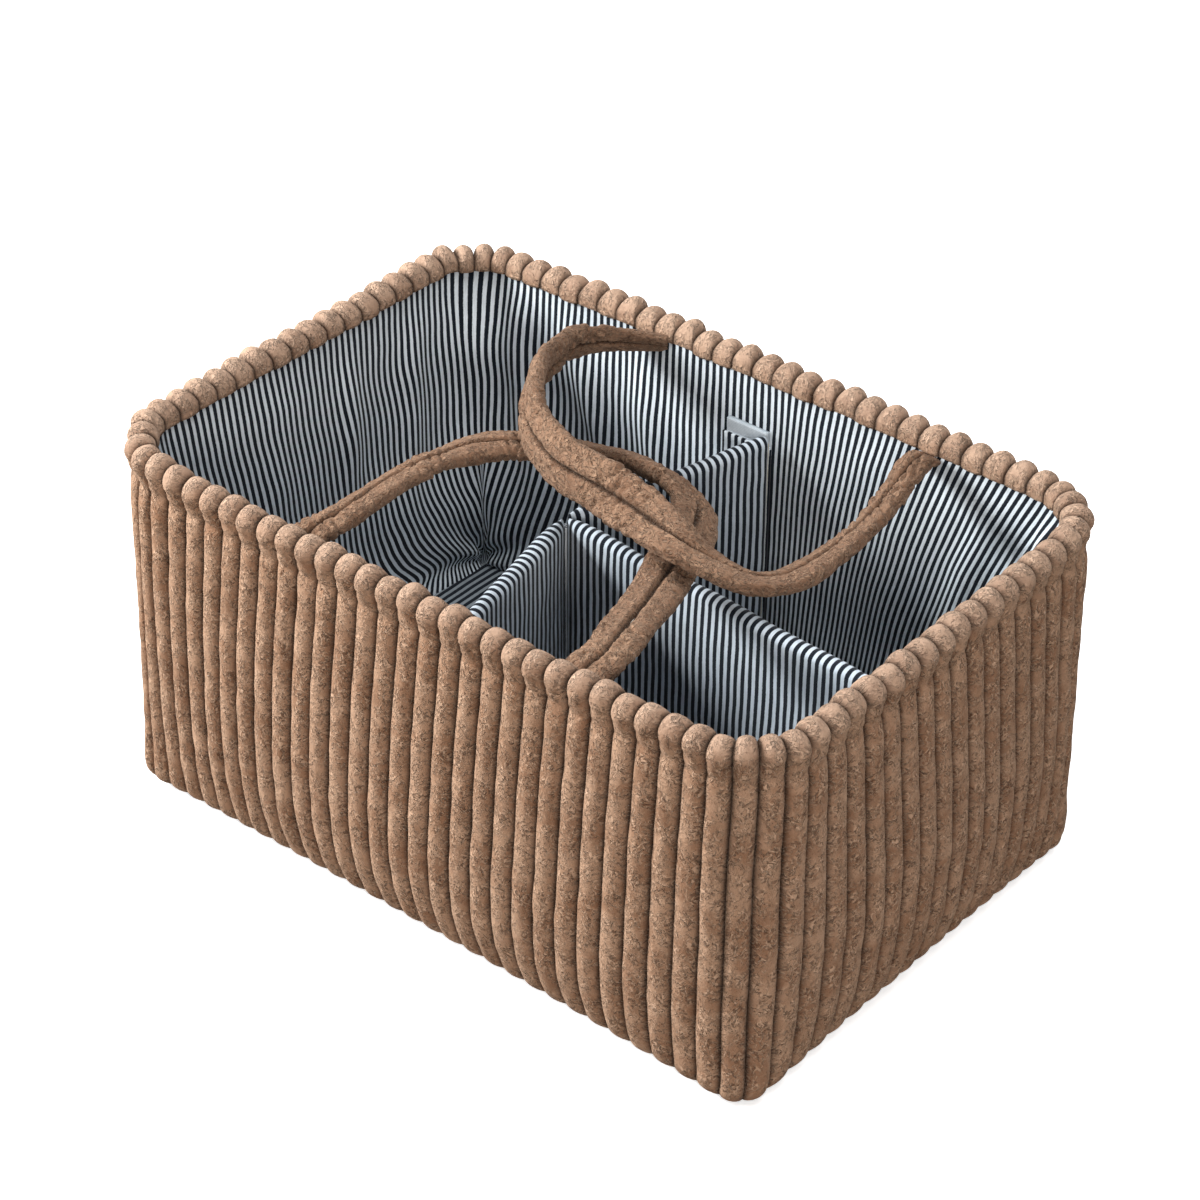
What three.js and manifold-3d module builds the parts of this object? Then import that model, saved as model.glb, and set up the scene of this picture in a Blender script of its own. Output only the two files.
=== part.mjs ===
// Soft storage basket: a corduroy body stiffened by foam and lined with striped ticking,
// with two carrying loops and a padded T-shaped divider.
// Lengths in millimetres, +Z up, origin at the centre of the underside, +X along the long sides.
import * as THREE from 'three';
import { mergeVertices } from 'three/addons/utils/BufferGeometryUtils.js';
import Module from 'manifold-3d';

const wasm = await Module();
wasm.setup();

// Body, measured over the crests of the ribs
const HEIGHT = 180;
const BASE_LENGTH = 349;
const BASE_WIDTH = 236;
const TOP_LENGTH = 359;
const TOP_WIDTH = 239;
const BASE_CORNER_RADIUS = 16;
const TOP_CORNER_RADIUS = 36;
const LONG_SIDE_RIBS = 31;
const SHORT_SIDE_RIBS = 20;
const RIB_HEIGHT = 4;
const CLOTH_THICKNESS = 0.9;
const FOAM_THICKNESS = 4;
const LINING_THICKNESS = 0.9;
const LAYER_GAP = 0.3;
const CUT_OVERRUN = 20;
const CORNER_STEPS = 5;

// Rim roll
const HEAD_OVERHANG = 2.6;
const HEAD_HALF_HEIGHT = 8.5;
const HEAD_GROOVE_DEPTH = 5.8;
const HEAD_TOP_GROOVE_DEPTH = 3.2;
const NECK_DROP = 20;
const NECK_DEPTH = 1.5;
const NECK_GROOVE_DEPTH = 0.6;
const STRAIGHT_DROP = 28;
const FACING_DROP = 10.5;
const FACING_RIB_HEIGHT = 1;
const ROLL_SHOULDER_ANGLE = 40;

// Lower edge and floor
const BEND_RADIUS = 9;
const HEM_LIFT = 0.6;
const HEM_RIB_HEIGHT = 1;
const BASE_COVER_THICKNESS = 2.6;
const BASE_RIB_PITCH = 11.2;
const BASE_GROOVE_WIDTH = 5;
const BASE_GROOVE_DEPTH = 1.6;
const BASE_BOARD_THICKNESS = 2;
const FOAM_JOINT_GAP = 0.6;

// Handles
const HANDLE_WIDTH = 24;
const HANDLE_THICKNESS = 7;
const HANDLE_SPACING = 147;
const HANDLE_RISE = 10;
const FRONT_HANDLE_CENTRE = 7;
const FRONT_HANDLE_REACH = 140;
const BACK_HANDLE_CENTRE = 15.5;
const BACK_HANDLE_REACH = 116;
const HINGE_DROP = 12;
const TAB_THICKNESS = 3;
const TAB_LENGTH = 11;
const CORE_WIDTH = 16.6;
const CORE_THICKNESS = 2;
const HANDLE_STEPS = 44;

// Divider
const LEAF_DROP = 34;
const LEAF_THICKNESS = 6.4;
const LEAF_BOARD_THICKNESS = 4;
const LEAF_START = 5;
const PARTITION_START = 8.4;
const SEAM_X = -19;
const SEAM_Y = -1;
const SEAM_RADIUS = 1.5;
const SEAM_TOP_DROP = 2;
const SEAM_SIDES = 10;
const FLANGE_THICKNESS = 1.2;
const LEAF_ROUND_STEPS = 6;
const FRONT_LEAF_ANGLE = -77;
const BACK_LEAF_ANGLE = 76;
const PARTITION_ANGLE = -4;
const TAPE_WIDTH = 25;
const TAPE_THICKNESS = 1.2;
const TAPE_DROP = 32.5;
const TAPE_BOTTOM = 16;
const FLAP_DROP = 7;
const FLAP_MARGIN = 1;
const SWING_CLEARANCE = 1.5;

// How far each layer lies inside the crests of the ribs
const clothBack = RIB_HEIGHT + CLOTH_THICKNESS;
const foamOuter = clothBack + LAYER_GAP;
const foamInner = foamOuter + FOAM_THICKNESS;
const liningBack = foamInner + LAYER_GAP;
const liningFace = liningBack + LINING_THICKNESS;
const facingBack = liningFace + LAYER_GAP;
const facingGroove = facingBack + CLOTH_THICKNESS;
const facingCrest = facingGroove + FACING_RIB_HEIGHT;
const headCentre = (facingCrest - HEAD_OVERHANG) / 2;
const headHalfWidth = (facingCrest + HEAD_OVERHANG) / 2;
const hingeInset = facingBack + TAB_THICKNESS + LAYER_GAP + HANDLE_THICKNESS / 2;

// Levels
const facingEdge = HEIGHT - FACING_DROP;
const headLevel = HEIGHT - HEAD_HALF_HEIGHT;
const hemGroove = HEM_LIFT + HEM_RIB_HEIGHT;
const hemBack = hemGroove + CLOTH_THICKNESS;
const boardBottom = BASE_COVER_THICKNESS + LAYER_GAP;
const boardTop = boardBottom + BASE_BOARD_THICKNESS;
const liningBottom = boardTop + LAYER_GAP;
const floorTop = liningBottom + LINING_THICKNESS;
const leafBottom = floorTop + LAYER_GAP;
const hingeLevel = HEIGHT - HINGE_DROP;
const leafTop = HEIGHT - LEAF_DROP;
const tapeTop = HEIGHT - TAPE_DROP;

const QUARTER = Math.PI / 2;
const degrees = THREE.MathUtils.degToRad;
const mix = THREE.MathUtils.lerp;

// The crest outline at a level: it widens and its corners open out towards the rim
function outline(level) {
  const share = level / HEIGHT;
  return {
    halfLength: mix(BASE_LENGTH, TOP_LENGTH, share) / 2,
    halfWidth: mix(BASE_WIDTH, TOP_WIDTH, share) / 2,
    radius: mix(BASE_CORNER_RADIUS, TOP_CORNER_RADIUS, share),
  };
}

// The four sides anticlockwise from the front, each from one corner's middle to the next
const SIDES = [
  { facing: -QUARTER, ribs: LONG_SIDE_RIBS, long: true },
  { facing: 0, ribs: SHORT_SIDE_RIBS, long: false },
  { facing: QUARTER, ribs: LONG_SIDE_RIBS, long: true },
  { facing: 2 * QUARTER, ribs: SHORT_SIDE_RIBS, long: false },
];
const RIB_COUNT = SIDES.reduce((sum, side) => sum + side.ribs, 0);

function sideSizes(side, level) {
  const { halfLength, halfWidth, radius } = outline(level);
  const along = side.long ? halfLength : halfWidth;
  const across = side.long ? halfWidth : halfLength;
  const straight = along - radius;
  return { across, radius, straight, run: straight + radius * QUARTER / 2 };
}

// A point of one side, a distance along it from its middle and an inset in from the crests
function sidePoint(side, distance, level, inset) {
  const { across, radius, straight } = sideSizes(side, level);
  const turned = Math.max(Math.abs(distance) - straight, 0) / radius;
  const along = Math.sign(distance) * (Math.min(Math.abs(distance), straight)
    + (radius - inset) * Math.sin(turned));
  const out = across - radius + (radius - inset) * Math.cos(turned);
  const [c, s] = [Math.cos(side.facing), Math.sin(side.facing)];
  return new THREE.Vector3(out * c - along * s, out * s + along * c, level);
}

// A ring with the same few corner angles at every level, for the smooth inner layers
function plainRing(inset, level) {
  const points = [];
  const marks = [];
  let firstRib = 0;
  for (const side of SIDES) {
    const { radius, straight, run } = sideSizes(side, level);
    const half = Math.floor(CORNER_STEPS / 2);
    for (let step = -half; step <= half; step += 1) {
      const distances = step === 0 ? [-straight, straight]
        : [Math.sign(step) * (straight + radius * QUARTER * Math.abs(step) / CORNER_STEPS)];
      for (const distance of distances) {
        points.push(sidePoint(side, distance, level, inset));
        marks.push(firstRib + side.ribs * (distance / run + 1) / 2);
      }
    }
    firstRib += side.ribs;
  }
  return { points, marks };
}

// A ring that follows the ribs: each rib has its groove and three points over its crown
const RIB_PHASE_SHARES = [0, 0.22, 0.5, 0.78];
const RIB_CROWN_SHARES = [0, 0.82, 1, 0.82];

function ribbedRing(crest, groove) {
  const points = [];
  const marks = [];
  let firstRib = 0;
  for (const side of SIDES) {
    for (let rib = 0; rib < side.ribs; rib += 1) {
      RIB_PHASE_SHARES.forEach((phase, index) => {
        const crown = RIB_CROWN_SHARES[index];
        const level = mix(groove.level, crest.level, crown);
        const inset = mix(groove.inset, crest.inset, crown);
        const { run } = sideSizes(side, level);
        const distance = run * (2 * (rib + phase) / side.ribs - 1);
        points.push(sidePoint(side, distance, level, inset));
        marks.push(firstRib + rib + phase);
      });
    }
    firstRib += side.ribs;
  }
  return { points, marks };
}

// Joins two rings with triangles, walking round both in the order of their marks
function stitch(faces, from, to, wholeTurn) {
  let i = 0;
  let j = 0;
  const mark = (ring, index) => ring.marks[index % ring.marks.length]
    + wholeTurn * Math.floor(index / ring.marks.length);
  const vertex = (ring, index) => ring.start + (index % ring.marks.length);
  while (i < from.marks.length || j < to.marks.length) {
    const stepFrom = j >= to.marks.length
      || (i < from.marks.length && mark(from, i + 1) <= mark(to, j + 1));
    if (stepFrom) {
      faces.push(vertex(from, i), vertex(from, i + 1), vertex(to, j));
      i += 1;
    } else {
      faces.push(vertex(from, i), vertex(to, j + 1), vertex(to, j));
      j += 1;
    }
  }
}

function joinRings(faces, from, to, wholeTurn) {
  const count = from.marks.length;
  if (count !== to.marks.length) {
    stitch(faces, from, to, wholeTurn);
    return;
  }
  for (let i = 0; i < count; i += 1) {
    const next = (i + 1) % count;
    faces.push(from.start + i, from.start + next, to.start + next);
    faces.push(from.start + i, to.start + next, to.start + i);
  }
}

function meshFrom(positions, faces) {
  let volume = 0;
  const corner = (index) => new THREE.Vector3().fromArray(positions, 3 * faces[index]);
  for (let i = 0; i < faces.length; i += 3) {
    volume += corner(i).dot(corner(i + 1).cross(corner(i + 2)));
  }
  const outward = volume > 0 ? faces : faces.slice().reverse();
  const geometry = new THREE.BufferGeometry();
  geometry.setAttribute('position', new THREE.Float32BufferAttribute(positions, 3));
  geometry.setIndex(outward);
  return geometry;
}

function placeRings(rings) {
  const positions = [];
  for (const ring of rings) {
    ring.start = positions.length / 3;
    ring.points.forEach((point) => positions.push(point.x, point.y, point.z));
  }
  return positions;
}

// A tube or hoop: its rings close round on themselves
function closedLoft(rings, wholeTurn = RIB_COUNT) {
  const positions = placeRings(rings);
  const faces = [];
  rings.forEach((ring, i) => joinRings(faces, ring, rings[(i + 1) % rings.length], wholeTurn));
  return meshFrom(positions, faces);
}

// A block: its first and last rings are closed by flat caps
function cappedLoft(rings) {
  const positions = placeRings(rings);
  const faces = [];
  rings.slice(1).forEach((ring, i) => joinRings(faces, rings[i], ring, RIB_COUNT));
  const [bottom, top] = [rings[0], rings.at(-1)];
  for (let i = 1; i < bottom.marks.length - 1; i += 1) {
    faces.push(bottom.start, bottom.start + i + 1, bottom.start + i);
    faces.push(top.start, top.start + i, top.start + i + 1);
  }
  return meshFrom(positions, faces);
}

function hoop(outer, inner, bottom, top) {
  return closedLoft([plainRing(outer, bottom), plainRing(outer, top),
    plainRing(inner, top), plainRing(inner, bottom)]);
}

function plate(inset, bottom, top) {
  return cappedLoft([plainRing(inset, bottom), plainRing(inset, top)]);
}

function toSolid(geometry) {
  const bare = geometry.clone();
  bare.deleteAttribute('normal');
  bare.deleteAttribute('uv');
  const merged = mergeVertices(bare);
  return new wasm.Manifold(new wasm.Mesh({
    numProp: 3,
    vertProperties: new Float32Array(merged.attributes.position.array),
    triVerts: new Uint32Array(merged.index.array),
  }));
}

function toGeometry(solid) {
  const mesh = solid.getMesh();
  const geometry = new THREE.BufferGeometry();
  geometry.setAttribute('position', new THREE.BufferAttribute(mesh.vertProperties, 3));
  geometry.setIndex(new THREE.BufferAttribute(mesh.triVerts, 1));
  return geometry;
}

function boxSolid(low, high) {
  const size = high.clone().sub(low);
  const centre = low.clone().add(high).multiplyScalar(0.5);
  const box = new THREE.BoxGeometry(size.x, size.y, size.z);
  return toSolid(box.translate(centre.x, centre.y, centre.z));
}

const material = (colour, roughness) => new THREE.MeshStandardMaterial({
  color: colour, roughness, metalness: 0,
});
const corduroy = () => material(0xa98568, 0.95);
const ticking = () => material(0x8f9aa6, 0.9);
const foam = () => material(0xe6e2d6, 0.95);
const board = () => material(0xcfc8b8, 0.85);
const tape = () => material(0x9aa3ad, 0.9);
const webbing = () => material(0xd8d4cc, 0.9);

const basket = new THREE.Group();

function add(name, geometry, finish) {
  const mesh = new THREE.Mesh(geometry, finish);
  mesh.name = name;
  basket.add(mesh);
}

// Corduroy wall: one band from the hem under the floor's edge, up the side, over the rim
// and down inside as a short facing
function coverWall() {
  const half = Math.SQRT1_2;
  const bend = (inset, low) => ({
    inset: inset + (BEND_RADIUS - inset) * (1 - half),
    level: BEND_RADIUS - (BEND_RADIUS - low) * half,
  });
  const at = (inset, level) => ({ inset, level });
  const shoulder = degrees(ROLL_SHOULDER_ANGLE);
  const crown = (turn) => at(headCentre + headHalfWidth * Math.cos(turn),
    headLevel + HEAD_HALF_HEIGHT * Math.sin(turn));
  const grooveOuter = HEAD_GROOVE_DEPTH - HEAD_OVERHANG;
  const grooveHalfWidth = (facingGroove - grooveOuter) / 2;
  const valley = (turn) => at(grooveOuter + grooveHalfWidth * (1 + Math.cos(turn)),
    headLevel + (HEAD_HALF_HEIGHT - HEAD_TOP_GROOVE_DEPTH) * Math.sin(turn));
  const straightTop = HEIGHT - STRAIGHT_DROP;
  const neck = HEIGHT - NECK_DROP;
  const turns = [Math.PI, Math.PI - shoulder, QUARTER, shoulder];
  const rails = [
    [at(BEND_RADIUS, HEM_LIFT), at(BEND_RADIUS, hemGroove)],
    [bend(0, HEM_LIFT), bend(RIB_HEIGHT, hemGroove)],
    [at(0, BEND_RADIUS), at(RIB_HEIGHT, BEND_RADIUS)],
    [at(0, straightTop), at(RIB_HEIGHT, straightTop)],
    [at(NECK_DEPTH, neck), at(RIB_HEIGHT + NECK_GROOVE_DEPTH, neck)],
    ...turns.map((turn) => [crown(turn), valley(turn)]),
    [at(facingCrest, facingEdge), at(facingGroove, facingEdge)],
  ];
  const back = [
    at(facingBack, facingEdge),
    at(facingBack, headLevel + LAYER_GAP + CLOTH_THICKNESS),
    at((clothBack + facingBack) / 2, headLevel + HEAD_HALF_HEIGHT - RIB_HEIGHT - CLOTH_THICKNESS),
    at(clothBack, headLevel),
    at(clothBack, BEND_RADIUS),
    bend(clothBack, hemBack),
    at(BEND_RADIUS, hemBack),
  ];
  return closedLoft([
    ...rails.map(([crest, groove]) => ribbedRing(crest, groove)),
    ...back.map(({ inset, level }) => plainRing(inset, level)),
  ]);
}

// Corduroy under the floor: flat-topped ribs along the basket, with V grooves between them
function baseCover() {
  const inset = BEND_RADIUS + LAYER_GAP;
  let solid = toSolid(plate(inset, 0, BASE_COVER_THICKNESS));
  const { halfWidth } = outline(0);
  const groove = new THREE.Shape([
    new THREE.Vector2(-BASE_GROOVE_WIDTH, -BASE_GROOVE_DEPTH),
    new THREE.Vector2(BASE_GROOVE_WIDTH, -BASE_GROOVE_DEPTH),
    new THREE.Vector2(0, BASE_GROOVE_DEPTH),
  ]);
  const cutter = new THREE.ExtrudeGeometry(groove, {
    depth: BASE_LENGTH + CUT_OVERRUN, bevelEnabled: false,
  });
  cutter.translate(0, 0, -(BASE_LENGTH + CUT_OVERRUN) / 2);
  cutter.rotateX(QUARTER).rotateZ(QUARTER);
  const reach = halfWidth - inset - BASE_GROOVE_WIDTH;
  for (let y = BASE_RIB_PITCH / 2; y < reach; y += BASE_RIB_PITCH) {
    solid = solid.subtract(toSolid(cutter.clone().translate(0, y, 0)));
    solid = solid.subtract(toSolid(cutter.clone().translate(0, -y, 0)));
  }
  return toGeometry(solid);
}

// Foam: one strip round the four walls, its two ends meeting in a butt joint at the back
function foamBand() {
  const top = headLevel;
  const low = hemBack + LAYER_GAP;
  const half = Math.SQRT1_2;
  const ring = closedLoft([
    plainRing(foamOuter, top),
    plainRing(foamInner, top),
    plainRing(foamInner, boardBottom),
    plainRing(foamOuter + (BEND_RADIUS - foamOuter) * (1 - half),
      BEND_RADIUS - (BEND_RADIUS - low) * half),
    plainRing(foamOuter, BEND_RADIUS),
  ]);
  const { halfLength, halfWidth, radius } = outline(HEIGHT);
  const x = radius + CUT_OVERRUN - halfLength;
  const slit = boxSolid(
    new THREE.Vector3(x, 0, -CUT_OVERRUN),
    new THREE.Vector3(x + FOAM_JOINT_GAP, halfWidth + CUT_OVERRUN, HEIGHT + CUT_OVERRUN),
  );
  return toGeometry(toSolid(ring).subtract(slit));
}

add('cover_wall', coverWall(), corduroy());
add('base_cover', baseCover(), corduroy());
add('foam_band', foamBand(), foam());
add('base_board', plate(liningBack, boardBottom, boardTop), board());
add('lining_wall', hoop(liningBack, liningFace, liningBottom, headLevel), ticking());
add('lining_base', plate(facingBack, liningBottom, floorTop), ticking());

// Handles. Each route is a table of shares: along half the spacing of the two ends, inwards
// over the reach, and up by the rise, with the strap's roll in degrees.
const FRONT_ROUTE_SHARES = [
  [-1, 0, 0, 0],
  [-0.995, 0.125, 0, -8],
  [-1.025, 0.27, -0.1, -14],
  [-1.05, 0.415, -0.3, -15],
  [-1.045, 0.6, -0.55, -8],
  [-0.955, 0.74, -0.7, 4],
  [-0.8, 0.83, -0.8, 0],
  [-0.61, 0.9, -0.8, -35],
  [-0.385, 0.95, -0.8, -68],
  [-0.14, 0.965, -0.8, -78],
  [0.12, 0.95, -0.85, -82],
  [0.35, 0.89, -0.9, -80],
  [0.53, 0.77, -0.95, -55],
  [0.625, 0.605, -0.95, -22],
  [0.74, 0.425, -0.75, -6],
  [0.87, 0.23, -0.4, -2],
  [0.985, 0.07, -0.05, 0],
  [1, 0, 0, 0],
];
const BACK_ROUTE_SHARES = [
  [-1, 0, 0, 0],
  [-1.005, 0.055, 0, 0],
  [-1.05, 0.115, 0.07, 10],
  [-1.13, 0.17, 0.35, 34],
  [-1.21, 0.225, 0.7, 52],
  [-1.25, 0.31, 0.95, 64],
  [-1.23, 0.405, 1.1, 70],
  [-1.13, 0.55, 1.2, 74],
  [-0.955, 0.715, 1.2, 74],
  [-0.715, 0.86, 1.2, 72],
  [-0.405, 0.95, 1.05, 72],
  [-0.1, 0.97, 0.95, 62],
  [0.195, 0.995, 0.8, 38],
  [0.54, 1.045, 0.65, 5],
  [0.765, 1.025, 0.1, -12],
  [0.975, 0.97, -0.4, -14],
  [1.08, 0.86, -0.7, -14],
  [1.1, 0.64, -0.85, -20],
  [1.085, 0.415, -0.8, -28],
  [1.035, 0.185, -0.5, -20],
  [1.005, 0.055, -0.05, -2],
  [1, 0, 0, 0],
];

// Section of the strap over two wales, and its passage for the webbing, as shares of the
// half width and half thickness
const STRAP_SECTION_SHARES = [
  [1, 0], [0.85, 0.75], [0.45, 1], [0, 0.62], [-0.45, 1], [-0.85, 0.75],
  [-1, 0], [-0.85, -0.75], [-0.45, -1], [0, -0.62], [0.45, -1], [0.85, -0.75],
];
const BORE_SECTION_SHARES = [[1, 1], [0, 1], [-1, 1], [-1, -1], [0, -1], [1, -1]];
const NOSE_ANGLES = [60, 30];

// Stations along a strap: its centre, and the directions of its width and thickness
function strapStations(shares, centre, reach, inward) {
  const hinge = -inward * (outline(hingeLevel).halfWidth - hingeInset);
  const knots = shares.map(([along, inwards, up]) => new THREE.Vector3(
    centre + along * HANDLE_SPACING / 2,
    hinge + inward * inwards * reach,
    hingeLevel + up * HANDLE_RISE,
  ));
  const route = new THREE.CatmullRomCurve3(knots);
  const rolls = new THREE.CatmullRomCurve3(shares.map(([, , , roll]) => (
    new THREE.Vector3(degrees(roll), 0, 0)
  )));
  const upward = new THREE.Vector3(0, 0, 1);
  const stations = [];
  for (let step = 0; step <= HANDLE_STEPS; step += 1) {
    const share = route.getUtoTmapping(step / HANDLE_STEPS);
    const tangent = route.getTangent(share);
    if (step === 0) {
      tangent.set(0, inward, 0);
    }
    if (step === HANDLE_STEPS) {
      tangent.set(0, -inward, 0);
    }
    const level = upward.clone().cross(tangent).normalize();
    const steep = tangent.clone().cross(level);
    const roll = rolls.getPoint(share).x;
    const width = level.multiplyScalar(Math.cos(roll)).addScaledVector(steep, Math.sin(roll));
    stations.push({
      centre: route.getPoint(share),
      width,
      thickness: tangent.clone().cross(width),
      tangent,
      squeeze: 1,
    });
  }
  return stations;
}

// Rounds the strap off about its seam at both ends, so that it can swing against its tab
function withNoses(stations) {
  const radius = HANDLE_THICKNESS / 2;
  const nose = (station, away) => NOSE_ANGLES.map((angle) => ({
    ...station,
    centre: station.centre.clone()
      .addScaledVector(station.tangent, away * radius * Math.sin(degrees(angle))),
    squeeze: Math.cos(degrees(angle)),
  }));
  return [...nose(stations[0], -1), ...stations, ...nose(stations.at(-1), 1).reverse()];
}

function sectionRing(station, shares, width, thickness) {
  const points = shares.map(([across, through]) => station.centre.clone()
    .addScaledVector(station.width, across * width / 2)
    .addScaledVector(station.thickness, through * thickness / 2));
  const marks = shares.map(([across, through]) => {
    const turn = Math.atan2(through * thickness, across * width);
    return (turn + 4 * QUARTER) % (4 * QUARTER);
  });
  return { points, marks };
}

function strapRing(station) {
  return sectionRing(station, STRAP_SECTION_SHARES, HANDLE_WIDTH,
    HANDLE_THICKNESS * station.squeeze);
}

function boreRing(station, clearance) {
  return sectionRing(station, BORE_SECTION_SHARES, CORE_WIDTH + 2 * clearance,
    CORE_THICKNESS + 2 * clearance);
}

function handle(name, shares, centre, reach, inward) {
  const stations = strapStations(shares, centre, reach, inward);
  const noses = withNoses(stations);
  add(name, closedLoft([
    ...noses.map(strapRing),
    ...noses.map((station) => boreRing(station, LAYER_GAP)).reverse(),
  ], 4 * QUARTER), corduroy());
  const core = stations.map((station) => boreRing(station, 0)).reverse();
  add(`${name}_core`, cappedLoft(core), webbing());

  const wall = toSolid(hoop(facingBack, facingBack + TAB_THICKNESS,
    hingeLevel - TAB_LENGTH, facingEdge - LAYER_GAP));
  const reachOut = -inward * (outline(HEIGHT).halfWidth + CUT_OVERRUN);
  for (const [side, sign] of [['left', -1], ['right', 1]]) {
    const x = centre + sign * HANDLE_SPACING / 2;
    const block = boxSolid(
      new THREE.Vector3(x - HANDLE_WIDTH / 2, Math.min(0, reachOut), 0),
      new THREE.Vector3(x + HANDLE_WIDTH / 2, Math.max(0, reachOut), HEIGHT),
    );
    add(`${name}_${side}_tab`, toGeometry(wall.intersect(block)), corduroy());
  }
}

handle('front_handle', FRONT_ROUTE_SHARES, FRONT_HANDLE_CENTRE, FRONT_HANDLE_REACH, 1);
handle('back_handle', BACK_ROUTE_SHARES, BACK_HANDLE_CENTRE, BACK_HANDLE_REACH, -1);

// Divider. A leaf's own frame: first axis across it, second up, third outwards from the seam.
function leafMatrix(angle) {
  const outward = new THREE.Vector3(Math.cos(angle), Math.sin(angle), 0);
  const upward = new THREE.Vector3(0, 0, 1);
  const across = upward.clone().cross(outward);
  return new THREE.Matrix4().makeBasis(across, upward, outward)
    .setPosition(SEAM_X, SEAM_Y, 0);
}

// An upright slab with a rounded top, from a start to well past the wall
function roundedSlab(angle, thickness, bottom, top, start) {
  const radius = thickness / 2;
  const section = new THREE.Shape();
  section.moveTo(-radius, bottom);
  section.lineTo(radius, bottom);
  section.lineTo(radius, top - radius);
  section.absarc(0, top - radius, radius, 0, Math.PI, false);
  section.closePath();
  const slab = new THREE.ExtrudeGeometry(section, {
    depth: BASE_LENGTH, bevelEnabled: false, curveSegments: LEAF_ROUND_STEPS,
  });
  slab.translate(0, 0, start);
  return toSolid(slab.applyMatrix4(leafMatrix(angle)));
}

// The part of a band against one wall that the tape or flap of a leaf takes up
function wallPatch(leaf, outer, inner, bottom, top, margin) {
  const band = toSolid(hoop(outer, inner, bottom, top));
  const { halfLength, halfWidth } = outline(leafTop);
  const [cos, sin] = [Math.cos(leaf.angle), Math.sin(leaf.angle)];
  const far = halfLength + CUT_OVERRUN;
  if (leaf.wall === 'right') {
    const y = SEAM_Y + (halfLength - liningFace - SEAM_X) * sin / cos;
    return band.intersect(boxSolid(
      new THREE.Vector3(0, y + margin, 0),
      new THREE.Vector3(far, y + TAPE_WIDTH - margin, HEIGHT),
    ));
  }
  const towards = Math.sign(sin);
  const x = SEAM_X + (towards * (halfWidth - liningFace) - SEAM_Y) * cos / sin;
  return band.intersect(boxSolid(
    new THREE.Vector3(x - TAPE_WIDTH + margin, Math.min(0, towards * far), 0),
    new THREE.Vector3(x - margin, Math.max(0, towards * far), HEIGHT),
  ));
}

// One leaf: a striped sleeve over a stiff pad, a thin flange to the seam and an end flap,
// whose hook tape meets the loop strip on the lining
function leafPieces(leaf) {
  const stripOuter = facingBack;
  const stripInner = stripOuter + TAPE_THICKNESS;
  const hookOuter = stripInner + leaf.clearance;
  const hookInner = hookOuter + TAPE_THICKNESS;
  const flapOuter = hookInner + LAYER_GAP;
  const flapInner = flapOuter + LINING_THICKNESS;
  const flapTop = tapeTop - FLAP_DROP;
  const cavity = LEAF_BOARD_THICKNESS + 2 * LAYER_GAP;
  const cavityTop = leafTop - (LEAF_THICKNESS - cavity) / 2;
  const boardTopLevel = cavityTop - LAYER_GAP;
  const room = (inset) => toSolid(plate(inset, leafBottom - CUT_OVERRUN, HEIGHT));

  const bodyEnd = room((flapOuter + flapInner) / 2);
  const body = roundedSlab(leaf.angle, LEAF_THICKNESS, leafBottom, leafTop, leaf.start)
    .intersect(bodyEnd);
  const flap = wallPatch(leaf, flapOuter, flapInner, TAPE_BOTTOM, flapTop, 0);
  const hollow = roundedSlab(leaf.angle, cavity, leafBottom - CUT_OVERRUN, cavityTop,
    leaf.start + LINING_THICKNESS).intersect(room(flapInner + LINING_THICKNESS));
  const flangeStart = SEAM_RADIUS + LAYER_GAP;
  const flangeTop = leafTop - SEAM_TOP_DROP;
  const flange = new THREE.BoxGeometry(FLANGE_THICKNESS, flangeTop - leafBottom,
    leaf.start + LINING_THICKNESS / 2 - flangeStart);
  flange.translate(0, (flangeTop + leafBottom) / 2,
    (leaf.start + LINING_THICKNESS / 2 + flangeStart) / 2);
  const sleeve = body.add(flap).subtract(hollow)
    .add(toSolid(flange.applyMatrix4(leafMatrix(leaf.angle))));
  const pad = roundedSlab(leaf.angle, LEAF_BOARD_THICKNESS, leafBottom + LAYER_GAP,
    boardTopLevel, leaf.start + LINING_THICKNESS + LAYER_GAP)
    .intersect(room(flapInner + LINING_THICKNESS + LAYER_GAP));

  add(leaf.sleeve, toGeometry(sleeve), ticking());
  add(leaf.board, toGeometry(pad), board());
  add(leaf.hook, toGeometry(wallPatch(leaf, hookOuter, hookInner, TAPE_BOTTOM + FLAP_MARGIN,
    flapTop - FLAP_MARGIN, FLAP_MARGIN)), tape());
  add(leaf.strip, toGeometry(wallPatch(leaf, stripOuter, stripInner, TAPE_BOTTOM,
    tapeTop, 0)), tape());
}

leafPieces({
  sleeve: 'divider_front_sleeve',
  board: 'divider_front_board',
  hook: 'divider_front_hook',
  strip: 'front_loop_strip',
  angle: degrees(FRONT_LEAF_ANGLE),
  wall: 'front',
  start: LEAF_START,
  clearance: LAYER_GAP,
});
leafPieces({
  sleeve: 'divider_back_sleeve',
  board: 'divider_back_board',
  hook: 'divider_back_hook',
  strip: 'back_loop_strip',
  angle: degrees(BACK_LEAF_ANGLE),
  wall: 'back',
  start: LEAF_START,
  clearance: LAYER_GAP,
});
leafPieces({
  sleeve: 'partition_sleeve',
  board: 'partition_board',
  hook: 'partition_hook',
  strip: 'right_loop_strip',
  angle: degrees(PARTITION_ANGLE),
  wall: 'right',
  start: PARTITION_START,
  clearance: SWING_CLEARANCE,
});

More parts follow.
